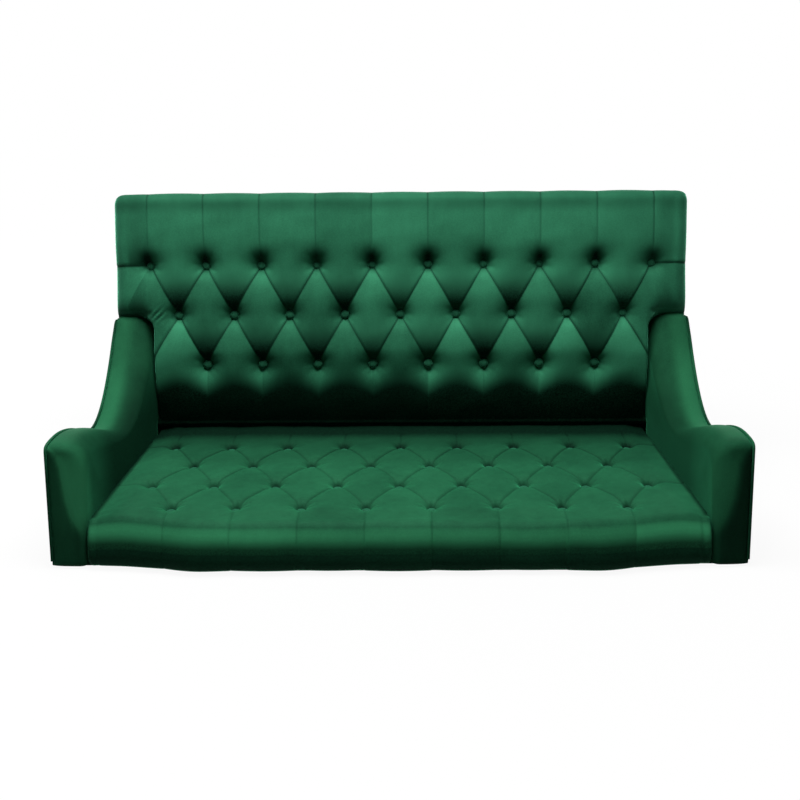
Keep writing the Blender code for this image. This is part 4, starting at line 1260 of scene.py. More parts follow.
@dataclass
class SeatCushion:
    """The tight, bow-fronted, tufted seat."""

    front_y: float = -0.360
    bow_depth: float = 0.024
    bow_sweep: float = 0.160
    bow_end: float = 0.514869
    first_row_y: float = -0.265
    rear_y: float = 0.2134
    level: float = 0.0775
    bottom: float = 0.0041
    lining: float = 0.0546
    front_half: float = 0.5668
    rear_half: float = 0.546
    rear_foot_y: float = 0.161065
    front_round: float = 0.032
    front_fall: float = 0.050
    front_slope: float = 0.005
    side_round: float = 0.010
    side_fall: float = 0.006
    uneven: float = 0.0018
    apron: float = 0.0165
    skirt: float = 0.0025
    parts: int = 24
    edge_parts: int = 9
    face_parts: int = 14
    margin_parts: int = 24
    shade: SeatShade = SeatShade()

    def __post_init__(self) -> None:
        """Set up the button lattice and draw the bays' unevenness."""
        self.tufting = Tufting(
            column=0.121146,
            row=0.1087,
            limits=(3.5, 4.0, 3.5, 4.0),
            puff=0.0185,
            pit_reach=0.0095,
            valley=0.0026,
            valley_reach=0.011,
            groove=0.0008,
            groove_reach=0.0016,
            lip=0.0015,
            sag=0.15,
            dark_half=0.009,
            dark_rise=0.0075,
            dark_fold=0.0,
            glow=0.25,
            patchy=0.10,
            line=0.40,
            weak=0.75,
            seed=23,
        )
        self.lifts = np.random.default_rng(29).uniform(-self.uneven, self.uneven, 32)

    def front_edge(self, x: Array) -> Array:
        """Return y of the bowed front at each x."""
        bow = ease(1.0 + (np.abs(x) - self.bow_end) / self.bow_sweep, 0.0, 1.0)
        return self.front_y + self.bow_depth * bow

    def half_at(self, y: Array) -> Array:
        """Return half the seat's width at each y."""
        run = self.rear_foot_y - self.front_y - self.bow_depth
        return mix(self.front_half, self.rear_half, (y - (self.front_y + self.bow_depth)) / run)

    def pleats(self) -> list[Pleat]:
        """Return the folds of the seat in the lattice's own coordinates.

        Returns:
            The folds.
        """
        grid = self.tufting
        folds = grid.diagonals()
        for x, t in grid.buttons():
            if t == 0.0:
                folds.append(Pleat((x, -0.25), (x, 0.0), 0.6))
            if t == grid.last:
                folds.append(Pleat((x, t), (x, t + 0.2), 0.3))
        for row in (1, 3):
            x, t = grid.limits[row] * grid.column, row * grid.row
            folds += [Pleat((x, t), (x + 0.12, t), 0.6), Pleat((-x - 0.12, t), (-x, t), 0.6)]
        return folds

    def margin(self) -> list[float]:
        """Return even shares of the way from the outer buttons to an edge."""
        return [step / self.margin_parts for step in range(1, self.margin_parts + 1)]

    def columns(self) -> Array:
        """Return the grid's columns: lattice place, share of the margin and turn over the side.

        Returns:
            One line for each column.
        """
        pitch = self.tufting.column / 2 / self.parts
        reach = round(2 * max(self.tufting.limits) * self.parts)
        half = [(reach * pitch, share, 0.0) for share in self.margin()]
        half += [(reach * pitch, 1.0, turn) for turn in quarter_turns(self.edge_parts)]
        columns = [(-x, -share, -turn) for x, share, turn in reversed(half)]
        columns += [(step * pitch, 0.0, 0.0) for step in range(-reach, reach + 1)]
        return np.array(columns + half)

    def rows(self) -> list[tuple[Strip, float]]:
        """Return the grid's rows: strip, and the place or turn in it.

        Returns:
            The rows in order.
        """
        pitch = self.tufting.row / self.parts
        turns = quarter_turns(self.edge_parts)
        rows = [(Strip.FACE, step / self.face_parts) for step in range(self.face_parts)]
        rows += [(Strip.ROLL, QUARTER - turn) for turn in [0.0] + turns[:-1]]
        rows += [(Strip.FRONT, share) for share in reversed(self.margin())]
        steps = round(self.tufting.last / pitch) + 1
        rows += [(Strip.FIELD, step * pitch) for step in range(steps)]
        rows += [(Strip.REAR, share) for share in self.margin()]
        return rows + [(Strip.BACK, turn) for turn in turns]

    def flat_places(self, strip: Strip, value: float, columns: Array) -> tuple[Array, Array]:
        """Return x and y of a row before it turns over an edge.

        Args:
            strip: The row's strip.
            value: The row's place in it.
            columns: The grid's columns.

        Returns:
            Places across and to the rear.
        """
        base, stretch = columns[:, 0], columns[:, 1]
        y = np.full_like(base, self.first_row_y)
        # The taper and the bow tie x and y together, so they are found in a few passes.
        for _ in range(3):
            x = base + stretch * (self.half_at(y) - self.side_round - np.abs(base))
            start = self.front_edge(x) + self.front_round
            if strip in (Strip.FACE, Strip.ROLL):
                y = start
            elif strip is Strip.FRONT:
                y = mix(self.first_row_y, start, value)
            elif strip is Strip.FIELD:
                y = np.full_like(base, self.first_row_y + value)
            else:
                y = np.full_like(base, self.first_row_y + self.tufting.last)
                y += (self.rear_y - self.side_round - y) * (value if strip is Strip.REAR else 1.0)
        return x, y

    def section(
        self, strip: Strip, value: float, columns: Array, pleats: list[Pleat]
    ) -> tuple[Array, Array, Array, Array]:
        """Shape and shade one row of the grid.

        Args:
            strip: The row's strip.
            value: The row's place or turn in it.
            columns: The grid's columns.
            pleats: All folds of the seat.

        Returns:
            Places, heights over the button seats, painted shade, and painted light with random
            tone.
        """
        grid, shade = self.tufting, self.shade
        stretch, side_turn = np.abs(columns[:, 1]), columns[:, 2]
        x, y = self.flat_places(strip, value, columns)
        t = y - self.first_row_y
        height, fold, nap = grid.surface(x, t, pleats)
        top = self.level + height
        top += 0.0008 * waves(x, y, 0.13, 8) + 0.0003 * waves(x, y, 0.045, 9)
        top -= self.side_fall * ease(stretch, 0.3, 1.0) * (1.0 - 0.4 * ease(-t, 0.03, 0.08))
        lift = self.lifts[np.floor(x / grid.column + 0.5).astype(int) + len(self.lifts) // 2]
        top += (lift - self.front_slope) * ease(-t, 0.015, 0.066)

        # The row turns over the front or the rear edge by its lean.
        lean = {Strip.ROLL: value, Strip.FACE: QUARTER, Strip.BACK: -value}.get(strip, 0.0)
        in_front = strip in (Strip.ROLL, Strip.FACE)
        reach, depth = self.side_round, self.side_round
        if in_front:
            reach, depth = self.front_round, self.front_fall
        ahead = reach * math.sin(lean) * np.ones_like(x)
        drop = depth * (1.0 - math.cos(lean)) * np.ones_like(x)
        if in_front:
            crease = self.level + grid.puff - self.front_slope + lift
            top = top + (crease - 0.0035 - top) * 0.65 * math.sin(lean) ** 2
            swell = 0.0030 * np.abs(np.cos(math.pi * x / grid.column)) * math.sin(lean)
            ahead = ahead + swell + (lift - 0.0022 * fold) * math.sin(lean)
        z = top - drop
        if strip is Strip.FACE:
            z = mix(self.bottom + 0.004, z, value)
            bulge = math.sin(math.pi * min(1.0, 0.12 + 0.88 * value))
            ahead = ahead + 0.004 * bulge - 0.003 * (1.0 - value) ** 3
            # Painted shade on the front face.
            fold = np.maximum(fold * value, shade.face)
        # The row's ends turn over the sides.
        tuck = self.side_round * (1.0 - np.cos(side_turn))
        x = x + self.side_round * np.sin(side_turn)
        y = y - ahead + math.sin(lean) * tuck
        z = z - math.cos(lean) * tuck

        # Painted highlight on the front roll, and painted shade on the top towards the back and the
        # arms.
        if strip is Strip.ROLL:
            fold = np.maximum(fold, shade.face * float(ease(lean, 1.00, 1.50)))
            shine = shade.roll + shade.roll_left * ease(-x, 0.0, 0.3)
            shine = shine + shade.roll_end * ease(x, 3.48 * grid.column, 3.52 * grid.column)
            nap = nap + shine * float(ease(lean, 0.45, 0.85))
            nap = nap - shade.roll_crease * math.sin(2.0 * min(lean, 0.8)) ** 2
        if not in_front:
            for share, low, high in zip(shade.rear_shares, shade.rear_starts, shade.rear_ends):
                fold = fold + share * ease(y, low, high)
            side = shade.edge * ease(stretch + 0.1 * np.abs(side_turn), 0.90, 1.06)
            fold = np.maximum(np.clip(fold, 0.0, 1.0), side)
        fold = np.maximum(fold, shade.edge * ease(np.abs(side_turn), 0.3, 1.0))
        return np.stack([x, y, z], -1), height, fold, nap

    def rims(self, face: Array, rows: list[tuple[Strip, float]]) -> list[list[Place]]:
        """Return the hem behind the face's border, and the skirt's and the lining's edge.

        Args:
            face: Places of the face by row and column.
            rows: The grid's rows.

        Returns:
            Places of each ring, in the border's order.
        """
        hems, inners, linings = [], [], []
        count, wide = face.shape[:2]
        for j, i in border(count, wide):
            x, y, z = face[j, i]
            in_roll = rows[j][0] is Strip.ROLL and 0 < i < wide - 1
            inward = x - math.copysign(self.skirt, x)
            if j == 0:
                hem = (x, y + 0.003, self.bottom)
                inner = (inward, y + self.apron, self.bottom)
            elif rows[j][0] is Strip.FACE or in_roll:
                rear = max(y, self.front_y + self.bow_depth) + self.apron
                hem = (x, rear, max(z, self.bottom))
                inner = (inward, *hem[1:])
            else:
                hem = (x, y, self.lining)
                inner = (inward, y - (self.skirt if j == count - 1 else 0.0), self.lining)
            hems.append(hem)
            inners.append(inner)
            linings.append((*inner[:2], self.lining))
        return [hems, inners, linings]

    def build(self, material: Finish) -> Piece:
        """Build the seat: apron, front roll, tufted top, side rolls, skirts and lining.

        Args:
            material: The cushion's velvet.

        Returns:
            The finished piece.
        """
        rows, columns, pleats = self.rows(), self.columns(), self.pleats()
        made = [self.section(strip, value, columns, pleats) for strip, value in rows]
        face, height, fold, nap = (np.stack(part) for part in zip(*made))
        rims = self.rims(face, rows)
        hidden = np.zeros(sum(len(rim) for rim in rims))
        fold, nap = (np.append(part.ravel(), hidden) for part in (fold, nap))
        piece = upholster("seat_cushion", face, height, rims, fold, nap)
        nodes = ("seat_tufted_cover", "seat_foam", "seat_front_edge_pad")
        dress(piece, material, "green_velvet", *nodes)
        return piece


@dataclass(frozen=True)
class ArmShade:
    """Painted shade and painted highlights on parts of an arm.

    The photograph's arms differ in tone, so the second number of a pair is added on the right arm
    and taken off on the left.
    """

    hollow_dark: Point = (0.55, -0.08)
    inner_dark: Point = (0.15, -0.06)
    front_dark: Point = (0.55, 0.25)
    front_lit: Point = (1.3, -0.7)
    edge_lit: Point = (1.0, -0.8)
    face_lit: float = 0.3
    foot_dull: float = 0.7
    foot_dark: float = 0.45
    crown_lit: float = 0.75
    dip_lit: float = 0.85
    right_lit: float = 0.1


@dataclass
class Arm:
    """One arm: padded swoop, outside panel and the piping between them."""

    side: Side
    back: BackCushion
    half_width: float = 0.635
    outer: float = 0.6291
    crown: float = 0.609
    low_crown: float = 0.581
    edge_drop: float = 0.0050
    tip_fall: float = 0.0065
    tip_run: float = 0.055
    tip_crown: float = 0.614
    hem: float = 0.0013
    hem_reach: float = 0.6317
    front_y: float = -0.336
    rear_foot_y: float = 0.161065
    front_thickness: float = 0.068
    rear_thickness: float = 0.088
    bottom: float = 0.0041
    pad_bottom: float = 0.0546
    lean: float = 0.0272
    shoulder: float = 0.212
    crest_rise: float = 0.0165
    crest_reach: float = 0.074
    dip_height: float = 0.168
    dip_reach: float = 0.306
    knee: Point = (0.188, 0.320)
    wing_height: float = 0.3453
    rear_depth: float = 0.0120
    foot_depth: float = 0.0235
    foot_round: float = 0.012
    front_round: float = 0.030
    top_round: float = 0.034
    inner_swell: float = 0.006
    thickness: float = 0.0022
    edge_heights: tuple[float, ...] = (0.06, 0.096, 0.126, 0.157, 0.187, 0.207, 0.219, 0.224)
    edge_places: tuple[float, ...] = (0.572, 0.588, 0.596, 0.600, 0.603, 0.610, 0.624, 0.636)
    piping: float = 0.0026
    piping_foot: float = 0.0085
    panel_rear: float = 0.0917
    panel_inner: float = 0.632
    panel_domes: tuple[Point, ...] = ((0.0022, 0.003), (0.0024, 0.06))
    tone: ArmShade = ArmShade()

    def inner(self, y: Array) -> Array:
        """Return x of the inner face at each y.

        Args:
            y: Places from front to rear.

        Returns:
            Places across, as on the right arm.
        """
        share = (y - self.front_y) / (self.rear_foot_y - self.front_y)
        taper = (self.rear_thickness - self.front_thickness) * share
        return self.half_width - self.front_thickness - taper

    def back_y(self, depth: float, height: float) -> float:
        """Return y where a leaning plane of the back reaches a height."""
        back, t = self.back, self.back.slope_at(depth, height)
        return back.origin_y + depth * math.cos(back.recline) + t * math.sin(back.recline)

    def front_at(self, height: float) -> float:
        """Return y of the leaning front face at a height."""
        return self.front_y + self.lean * (height - self.bottom) / (self.shoulder - self.bottom)

    def outline(self) -> list[Vector]:
        """Return the swoop from the front foot over the crest and the dip to the wing.

        Returns:
            Places as y and z.
        """
        foot = Vector((self.front_at(self.bottom), self.bottom))
        shoulder = Vector((self.front_at(self.shoulder), self.shoulder))
        crest = Vector((self.front_y + self.crest_reach, self.shoulder + self.crest_rise))
        dip = Vector((self.front_y + self.dip_reach, self.dip_height))
        knee = Vector(self.knee)
        wing = Vector((self.back_y(self.rear_depth, self.wing_height), self.wing_height))
        rise = (shoulder - foot).normalized() * self.crest_rise * 0.90
        run = Vector(((crest.x - shoulder.x) * 0.75, 0.0))
        fall = Vector((dip.x - crest.x, 0.0))
        steep, flat = Vector((1.0, 1.2)), Vector((1.0, 0.3))
        points = [foot.lerp(shoulder, step / 24) for step in range(24)]
        points.append(Vector((self.front_at(self.pad_bottom), self.pad_bottom)))
        points.sort(key=lambda point: point.y)
        points += interpolate_bezier(shoulder, shoulder + rise, crest - run, crest, 22)
        for curve in (
            (crest, crest + fall * 0.44, dip - fall * 0.195, dip, 34),
            (dip, dip + Vector((0.080, 0.0)), knee - steep * 0.050, knee, 40),
            (knee, knee + steep * 0.010, wing - flat * 0.018, wing, 14),
        ):
            points += interpolate_bezier(*curve)[1:]
        return [Vector(point[:2]) for point in points]

    def in_pad(self, point: Vector) -> bool:
        """Return whether a place of the outline lies above the pad's lower edge."""
        return point.y > self.pad_bottom + 1e-6

    def profile(self) -> list[tuple[Vector, Vector, float]]:
        """Return each outline point with the direction inwards and its inner rounding.

        Returns:
            One entry for each point.
        """
        points = self.outline()
        last = len(points) - 1
        made = []
        for index, point in enumerate(points):
            run = points[min(index + 1, last)] - points[max(index - 1, 0)]
            run.normalize()
            inward = Vector((run.y, -run.x))
            # The foot is cut level, and the wing's end along the back.
            cut = None
            if not self.in_pad(point):
                cut = Vector((1.0, 0.0))
            elif index == last:
                cut = Vector((-math.sin(self.back.recline), -math.cos(self.back.recline)))
            if cut is not None:
                inward = cut / cut.dot(inward)
            low = float(ease(point.y, 0.060, 0.160))
            swoop = float(ease((point.x - self.front_y) / self.dip_reach, 0.0, 1.0))
            front = mix(self.foot_round, self.front_round, low)
            made.append((point, inward, mix(front, self.top_round, swoop)))
        return made

    def tip_drop(self, y: float) -> float:
        """Return how far the outer edge falls towards the wing's end."""
        end = self.back_y(self.rear_depth, self.wing_height)
        return self.tip_fall * float(ease(y, end - self.tip_run, end))

    def rim(self) -> list[Vector]:
        """Return the outline of the inner face, smoothed where the inner rounding turns the crest.

        Its last places draw together, so that the inner face ends where the back begins.

        Returns:
            Places as y and z, one for each point of the outline.
        """
        profile = self.profile()
        line = np.array([tuple(point + inward * depth) for point, inward, depth in profile])
        above = np.array([self.in_pad(point) for point, _, _ in profile])
        tail = len(line) - 20
        free = (line[:, 1] > self.pad_bottom + 0.03) & (np.arange(len(line)) < tail)
        for _ in range(150):
            middle = (np.roll(line, 1, axis=0) + np.roll(line, -1, axis=0)) / 2
            line[free] = middle[free]
        line[above, 1] = np.maximum(line[above, 1], self.pad_bottom + 0.0005)
        ends = [self.back_y(self.rear_depth, height) - 1e-6 for height in line[:, 1]]
        past = next(k for k in range(tail, len(line)) if line[k, 0] > ends[k])
        line[past - 1:] = np.linspace(line[past - 1], line[-1], len(line) - past + 1)
        return [Vector(point) for point in line]

    def inset(self, distance: float) -> list[Point]:
        """Return the outline drawn inwards by a distance.

        Args:
            distance: How far inwards.

        Returns:
            Places as y and z.
        """
        return [
            tuple(point + inward * (distance + self.tip_drop(point.x)))
            for point, inward, _ in self.profile()
        ]

    def section(self, place: Vector, inward: Vector, inside: Vector) -> list[Place]:
        """Return the pad's section at a place of the outline, from the hem to the inner face.

        Args:
            place: The place.
            inward: Direction inwards there.
            inside: Where the inner face begins.

        Returns:
            Places with x as on the right arm.
        """
        crown = mix(self.low_crown, self.crown, float(ease(place.y, 0.05, 0.19)))
        crown += (self.back.wing_crown - crown) * float(ease(place.x, -0.05, 0.20))
        tip = self.tip_drop(place.x)
        drop = self.edge_drop + tip
        edge_crown = crown + 0.002 + (self.tip_crown - crown - 0.002) * tip / self.tip_fall
        hem = place + inward * (drop + self.hem)
        made = [(self.hem_reach, *hem), (self.outer, *hem)]
        for step in range(8):
            turn = QUARTER * (1.0 - step / 7)
            x = mix(edge_crown, self.outer, math.sin(turn))
            made.append((x, *(place + inward * drop * (1.0 - math.cos(turn)))))
        made.append((crown, *place))
        for turn in quarter_turns(14):
            y, z = place.lerp(inside, 1.0 - math.cos(turn))
            made.append((crown - (crown - float(self.inner(y))) * math.sin(turn), y, z))
        return made

    def pad(self, material: Finish) -> Piece:
        """Build the padded swoop from its piped outer edge over the crown to its inner face.

        Args:
            material: The arm's velvet.

        Returns:
            The finished piece.
        """
        sign = self.side.value
        profile = self.profile()
        sections = [
            self.section(place, inward, inside)
            for (place, inward, _), inside in zip(profile, self.rim())
        ]
        points = [(sign * x, y, z) for section in sections for x, y, z in section]
        wide = len(sections[0])
        faces = []
        for j in range(len(profile) - 1):
            for first in range(j * wide, (j + 1) * wide - 1):
                faces.append((first, first + 1, first + wide + 1, first + wide))
        # The inner face is filled between the sweep's inner rim and the back.
        start = next(
            j for j, (place, _, _) in enumerate(profile) if place.y >= self.pad_bottom - 1e-6
        )
        rim = [j * wide + wide - 1 for j in range(start, len(profile))]
        loop = [points[number][1:] for number in rim]
        rear = (self.back_y(self.foot_depth, self.pad_bottom), self.pad_bottom)
        down = [
            (mix(loop[-1][0], rear[0], share), mix(loop[-1][1], rear[1], share))
            for share in (0.2, 0.4, 0.6, 0.8, 1.0)
        ]
        shares = np.linspace(0.0, 1.0, 24)[1:-1]
        along = [(mix(rear[0], loop[0][0], share), self.pad_bottom) for share in shares]
        places, triangles = fill(loop + down + along, 0.011)
        edge = np.array(loop)
        for place in places[len(rim):]:
            inside = 1.0 - math.exp(-((clearance(edge, place) / 0.05) ** 2))
            swell = self.inner_swell * inside * float(ease(place.y, 0.10, 0.17))
            rim.append(len(points))
            points.append((sign * (float(self.inner(place.x)) - swell), place.x, place.y))
        faces += [tuple(rim[index] for index in face) for face in triangles]
        piece = add_mesh(f"{self.side.label}_arm_pad", points, faces)
        set_shading(piece, *self.shade(np.array(points)))
        with editing(piece.data) as builder:
            bmesh.ops.recalc_face_normals(builder, faces=builder.faces)
            crest = max(builder.faces, key=lambda face: face.calc_center_median().z)
            if crest.normal.z < 0.0:
                bmesh.ops.reverse_faces(builder, faces=builder.faces)
        thicken(piece, self.thickness, -1.0)
        nodes = (f"{self.side.label}_arm_cover", f"{self.side.label}_arm_foam")
        dress(piece, material, "green_velvet", *nodes)
        return piece

    def shade(self, points: Array) -> tuple[Array, Array]:
        """Return painted shade in the hollow and on the front, and painted highlights at its inner
        edge and on the crown.

        Args:
            points: Places on the pad.

        Returns:
            The painted shade, and the painted highlights.
        """
        tone, right, face = self.tone, self.side.value, self.front_y
        x, y, z = np.abs(points[:, 0]), points[:, 1], points[:, 2]
        pairs = (tone.hollow_dark, tone.front_dark, tone.front_lit, tone.edge_lit)
        hollow_dark, front_dark, front_lit, edge_lit = (a + b * right for a, b in pairs)
        # Painted shade (flat) in the inner hollow and on the front's outer part; painted highlights
        # (raised) at the front's inner edge and on the crown.
        inner = 1.0 - ease(x, 0.560, 0.605)
        hollow = (1.0 - ease(z, 0.15, 0.30)) * ease(y, face + 0.04, face + 0.20)
        front = 1.0 - ease(y, face + 0.035, face + 0.070)
        past = x - np.interp(z, self.edge_heights, self.edge_places)
        outer = ease(past, 0.0, 0.018)
        flat = hollow_dark * hollow + tone.inner_dark[0] + tone.inner_dark[1] * right
        flat = flat * inner + front_dark * front * outer
        raised = front_lit * (1.0 - ease(past, -0.004, 0.010))
        raised = raised * (1.0 - ease(z, 0.19, 0.225))
        raised = raised + edge_lit * np.exp(-((past / 0.006) ** 2))
        raised = raised + tone.face_lit * (1.0 - right)
        foot = front * (1.0 - ease(z, 0.045, 0.100))
        raised = raised * (1.0 - tone.foot_dull * foot)
        flat = flat + tone.foot_dark * foot * (1.0 - outer)
        dip = (1.0 - ease(z, 0.22, 0.31)) * ease(y, face + 0.10, face + 0.22)
        crown = tone.crown_lit + tone.dip_lit * dip
        crown = tone.right_lit * right + crown * ease(x, 0.578, 0.608)
        return np.clip(flat, 0.0, 1.0), raised * front + crown * (1.0 - front)

    def outside(self, material: Finish) -> Piece:
        """Build the board-backed panel on the outside of the arm.

        Args:
            material: The arm's velvet.

        Returns:
            The finished piece.
        """
        loop = self.inset(2 * self.piping + 0.0006)
        height = loop[-1][1]
        rear_top = (self.back_y(self.panel_rear, height), height)
        rear_low = (self.back_y(self.panel_rear, self.bottom), self.bottom)
        corners = [loop[-1], rear_top, rear_low, loop[0]]
        for first, second, count in zip(corners, corners[1:], (8, 30, 50)):
            for share in np.linspace(0.0, 1.0, count + 1)[1:]:
                loop.append((mix(first[0], second[0], share), mix(first[1], second[1], share)))
        loop.pop()
        corners, faces = board(loop, 0.012, self.panel_inner, self.panel_domes)
        points = [(self.side.value * level, y, z) for y, z, level in corners]
        piece = add_mesh(f"{self.side.label}_outside_arm", points, faces)
        turn_outwards(piece)
        dress(piece, material, "green_velvet", f"{self.side.label}_outside_arm_panel")
        return piece

    def welt(self, trees: "Trees", material: Finish) -> None:
        """Lay the piping along the outer edge, with painted highlights over the hump and dip and
        painted shade elsewhere.

        Args:
            trees: The Geometry Nodes trees.
            material: The piping's velvet.
        """
        x = self.side.value * (self.half_width - self.piping - 0.0003)
        line = self.inset(self.piping + 0.0004)
        path = [(x, y, z) for y, z in line if z > self.piping_foot]
        values = {"Radius": self.piping, "Sides": CORD_SIDES, "Finish": material}
        piece = trees.grow(f"{self.side.label}_arm_piping", trees.piping, path, values)
        z = np.array([vertex.co.z for vertex in piece.data.vertices])
        # Painted highlight over the hump and dip, painted shade elsewhere.
        lit = ease(z, 0.160, 0.200) * (1.0 - ease(z, 0.260, 0.330))
        set_shading(piece, 0.50 * (1.0 - lit), 0.6 * lit)
        dress(piece, material, "green_velvet", f"{self.side.label}_arm_welt")


class Trees:
    """Geometry Nodes trees for what repeats or follows a path."""

    def __init__(self) -> None:
        """Build each tree once."""
        self.piping = self._piping()
        self.on_points = self._on_points()
        self.on_path = self._on_path()

    def _start(self, name: str, **sockets: str) -> tuple[Graph, dict[str, Socket]]:
        """Start a tree with named inputs.

        Args:
            name: Name of the tree.
            sockets: Type of each input after the geometry, by name.

        Returns:
            The graph and its inputs by name.
        """
        tree = bpy.data.node_groups.new(name, "GeometryNodeTree")
        ends = [("Geometry", "INPUT", "Geometry")]
        ends += [(label, "INPUT", kind) for label, kind in sockets.items()]
        ends += [("Finish", "INPUT", "Material"), ("Geometry", "OUTPUT", "Geometry")]
        for label, way, kind in ends:
            tree.interface.new_socket(label, in_out=way, socket_type="NodeSocket" + kind)
        graph = Graph(tree)
        start = graph.node("NodeGroupInput")
        return graph, {socket.name: socket for socket in start.outputs if socket.name}

    def _end(self, graph: Graph, start: dict[str, Socket], made: bpy.types.Node) -> Any:
        """Realize, smooth and dress the geometry, and close the tree.

        Args:
            graph: The graph.
            start: Its inputs by name.
            made: Node that makes the geometry.

        Returns:
            The tree.
        """
        real = graph.node("GeometryNodeRealizeInstances", {0: made.outputs[0]})
        smooth = graph.node("GeometryNodeSetShadeSmooth", {"Geometry": real.outputs[0]})
        inputs = {"Geometry": smooth.outputs[0], "Material": start["Finish"]}
        dressed = graph.node("GeometryNodeSetMaterial", inputs)
        graph.node("NodeGroupOutput", {0: dressed.outputs[0]})
        return graph.tree

    def _place(self, graph: Graph, start: dict[str, Socket], points: Socket, turn: Socket) -> Any:
        """Set the item on points, turned as given, and close the tree.

        Args:
            graph: The graph.
            start: Its inputs by name.
            points: The points.
            turn: Rotation at each point.

        Returns:
            The tree.
        """
        item = graph.node("GeometryNodeObjectInfo", {"Object": start["Item"]})
        inputs = {"Points": points, "Instance": item.outputs["Geometry"], "Rotation": turn}
        return self._end(graph, start, graph.node("GeometryNodeInstanceOnPoints", inputs))

    def _piping(self) -> bpy.types.NodeTree:
        """Sweep a round cord along the input's edges.

        Returns:
            The tree.
        """
        graph, start = self._start("piping", Radius="Float", Sides="Int")
        curve = graph.node("GeometryNodeMeshToCurve", {"Mesh": start["Geometry"]})
        inputs = {"Resolution": start["Sides"], "Radius": start["Radius"]}
        ring = graph.node("GeometryNodeCurvePrimitiveCircle", inputs)
        inputs = {"Curve": curve.outputs[0], "Profile Curve": ring.outputs[0], "Fill Caps": True}
        return self._end(graph, start, graph.node("GeometryNodeCurveToMesh", inputs))

    def _on_points(self) -> bpy.types.NodeTree:
        """Set an item on each point, facing one way with a little seeded unevenness.

        Returns:
            The tree.
        """
        graph, start = self._start(
            "items_on_points", Item="Object", Facing="Vector", Wobble="Vector", Seed="Int"
        )
        aim = graph.node(
            "FunctionNodeAlignRotationToVector", {"Vector": start["Facing"]}, axis="Z"
        )
        inputs = {0: start["Wobble"], "Scale": -1.0}
        low = graph.node("ShaderNodeVectorMath", inputs, operation="SCALE")
        inputs = {0: low.outputs[0], 1: start["Wobble"], "Seed": start["Seed"]}
        draw = graph.node("FunctionNodeRandomValue", inputs, data_type="FLOAT_VECTOR")
        inputs = {"Rotation": aim.outputs[0], "Rotate By": draw.outputs[0]}
        turn = graph.node("FunctionNodeRotateRotation", inputs, rotation_space="LOCAL")
        return self._place(graph, start, start["Geometry"], turn.outputs[0])

    def _on_path(self) -> bpy.types.NodeTree:
        """Set an item at even steps along the input's edges, in line with them.

        Returns:
            The tree.
        """
        graph, start = self._start("items_on_path", Item="Object", Facing="Vector", Step="Float")
        curve = graph.node("GeometryNodeMeshToCurve", {"Mesh": start["Geometry"]})
        inputs = {"Curve": curve.outputs[0], "Length": start["Step"]}
        even = graph.node("GeometryNodeResampleCurve", inputs, mode="LENGTH")
        tangent = graph.node("GeometryNodeInputTangent")
        inputs = {"Vector": tangent.outputs[0]}
        along = graph.node("FunctionNodeAlignRotationToVector", inputs, axis="X")
        inputs = {"Rotation": along.outputs[0], "Vector": start["Facing"]}
        aim = graph.node("FunctionNodeAlignRotationToVector", inputs, axis="Z", pivot_axis="X")
        return self._place(graph, start, even.outputs[0], aim.outputs[0])

    def grow(
        self, name: str, tree: bpy.types.NodeTree, run: Sequence[Any], values: dict[str, Any],
        joined: bool = True,
    ) -> Piece:
        """Run a tree over a polyline or points and keep the result as a plain mesh.

        Args:
            name: Name of the piece.
            tree: The tree to run.
            run: The points.
            values: Input values by name.
            joined: Whether the points are joined by edges.

        Returns:
            The finished object.
        """
        points = [tuple(point) for point in run]
        edges = [(step, step + 1) for step in range(len(points) - 1)] if joined else []
        path = bpy.data.meshes.new(name + "_path")
        path.from_pydata(points, edges, [])
        seedling = link(name + "_path", path)
        modifier = seedling.modifiers.new(tree.name, "NODES")
        modifier.node_group = tree
        for item in tree.interface.items_tree:
            if item.in_out == "INPUT" and item.name in values:
                modifier[item.identifier] = values[item.name]
        graph = bpy.context.evaluated_depsgraph_get()
        mesh = bpy.data.meshes.new_from_object(seedling.evaluated_get(graph), depsgraph=graph)
        mesh.name = name
        bpy.data.objects.remove(seedling, do_unlink=True)
        return link(name, mesh)


def turned(name: str, profile: Sequence[Point], sides: int) -> Piece:
    """Turn a profile of radius and height about z.

    Args:
        name: Name of the object.
        profile: Points from the top's middle to the bottom's middle.
        sides: Number of steps round.

    Returns:
        The object, for use as an item of a tree.
    """
    points: list[Place] = []
    for radius, z in profile:
        for step in range(sides):
            angle = 2.0 * math.pi * step / sides
            points.append((radius * math.cos(angle), radius * math.sin(angle), z))
    piece = add_mesh(name, points, join_loops(rings(len(profile), sides)))
    turn_outwards(piece)
    return piece


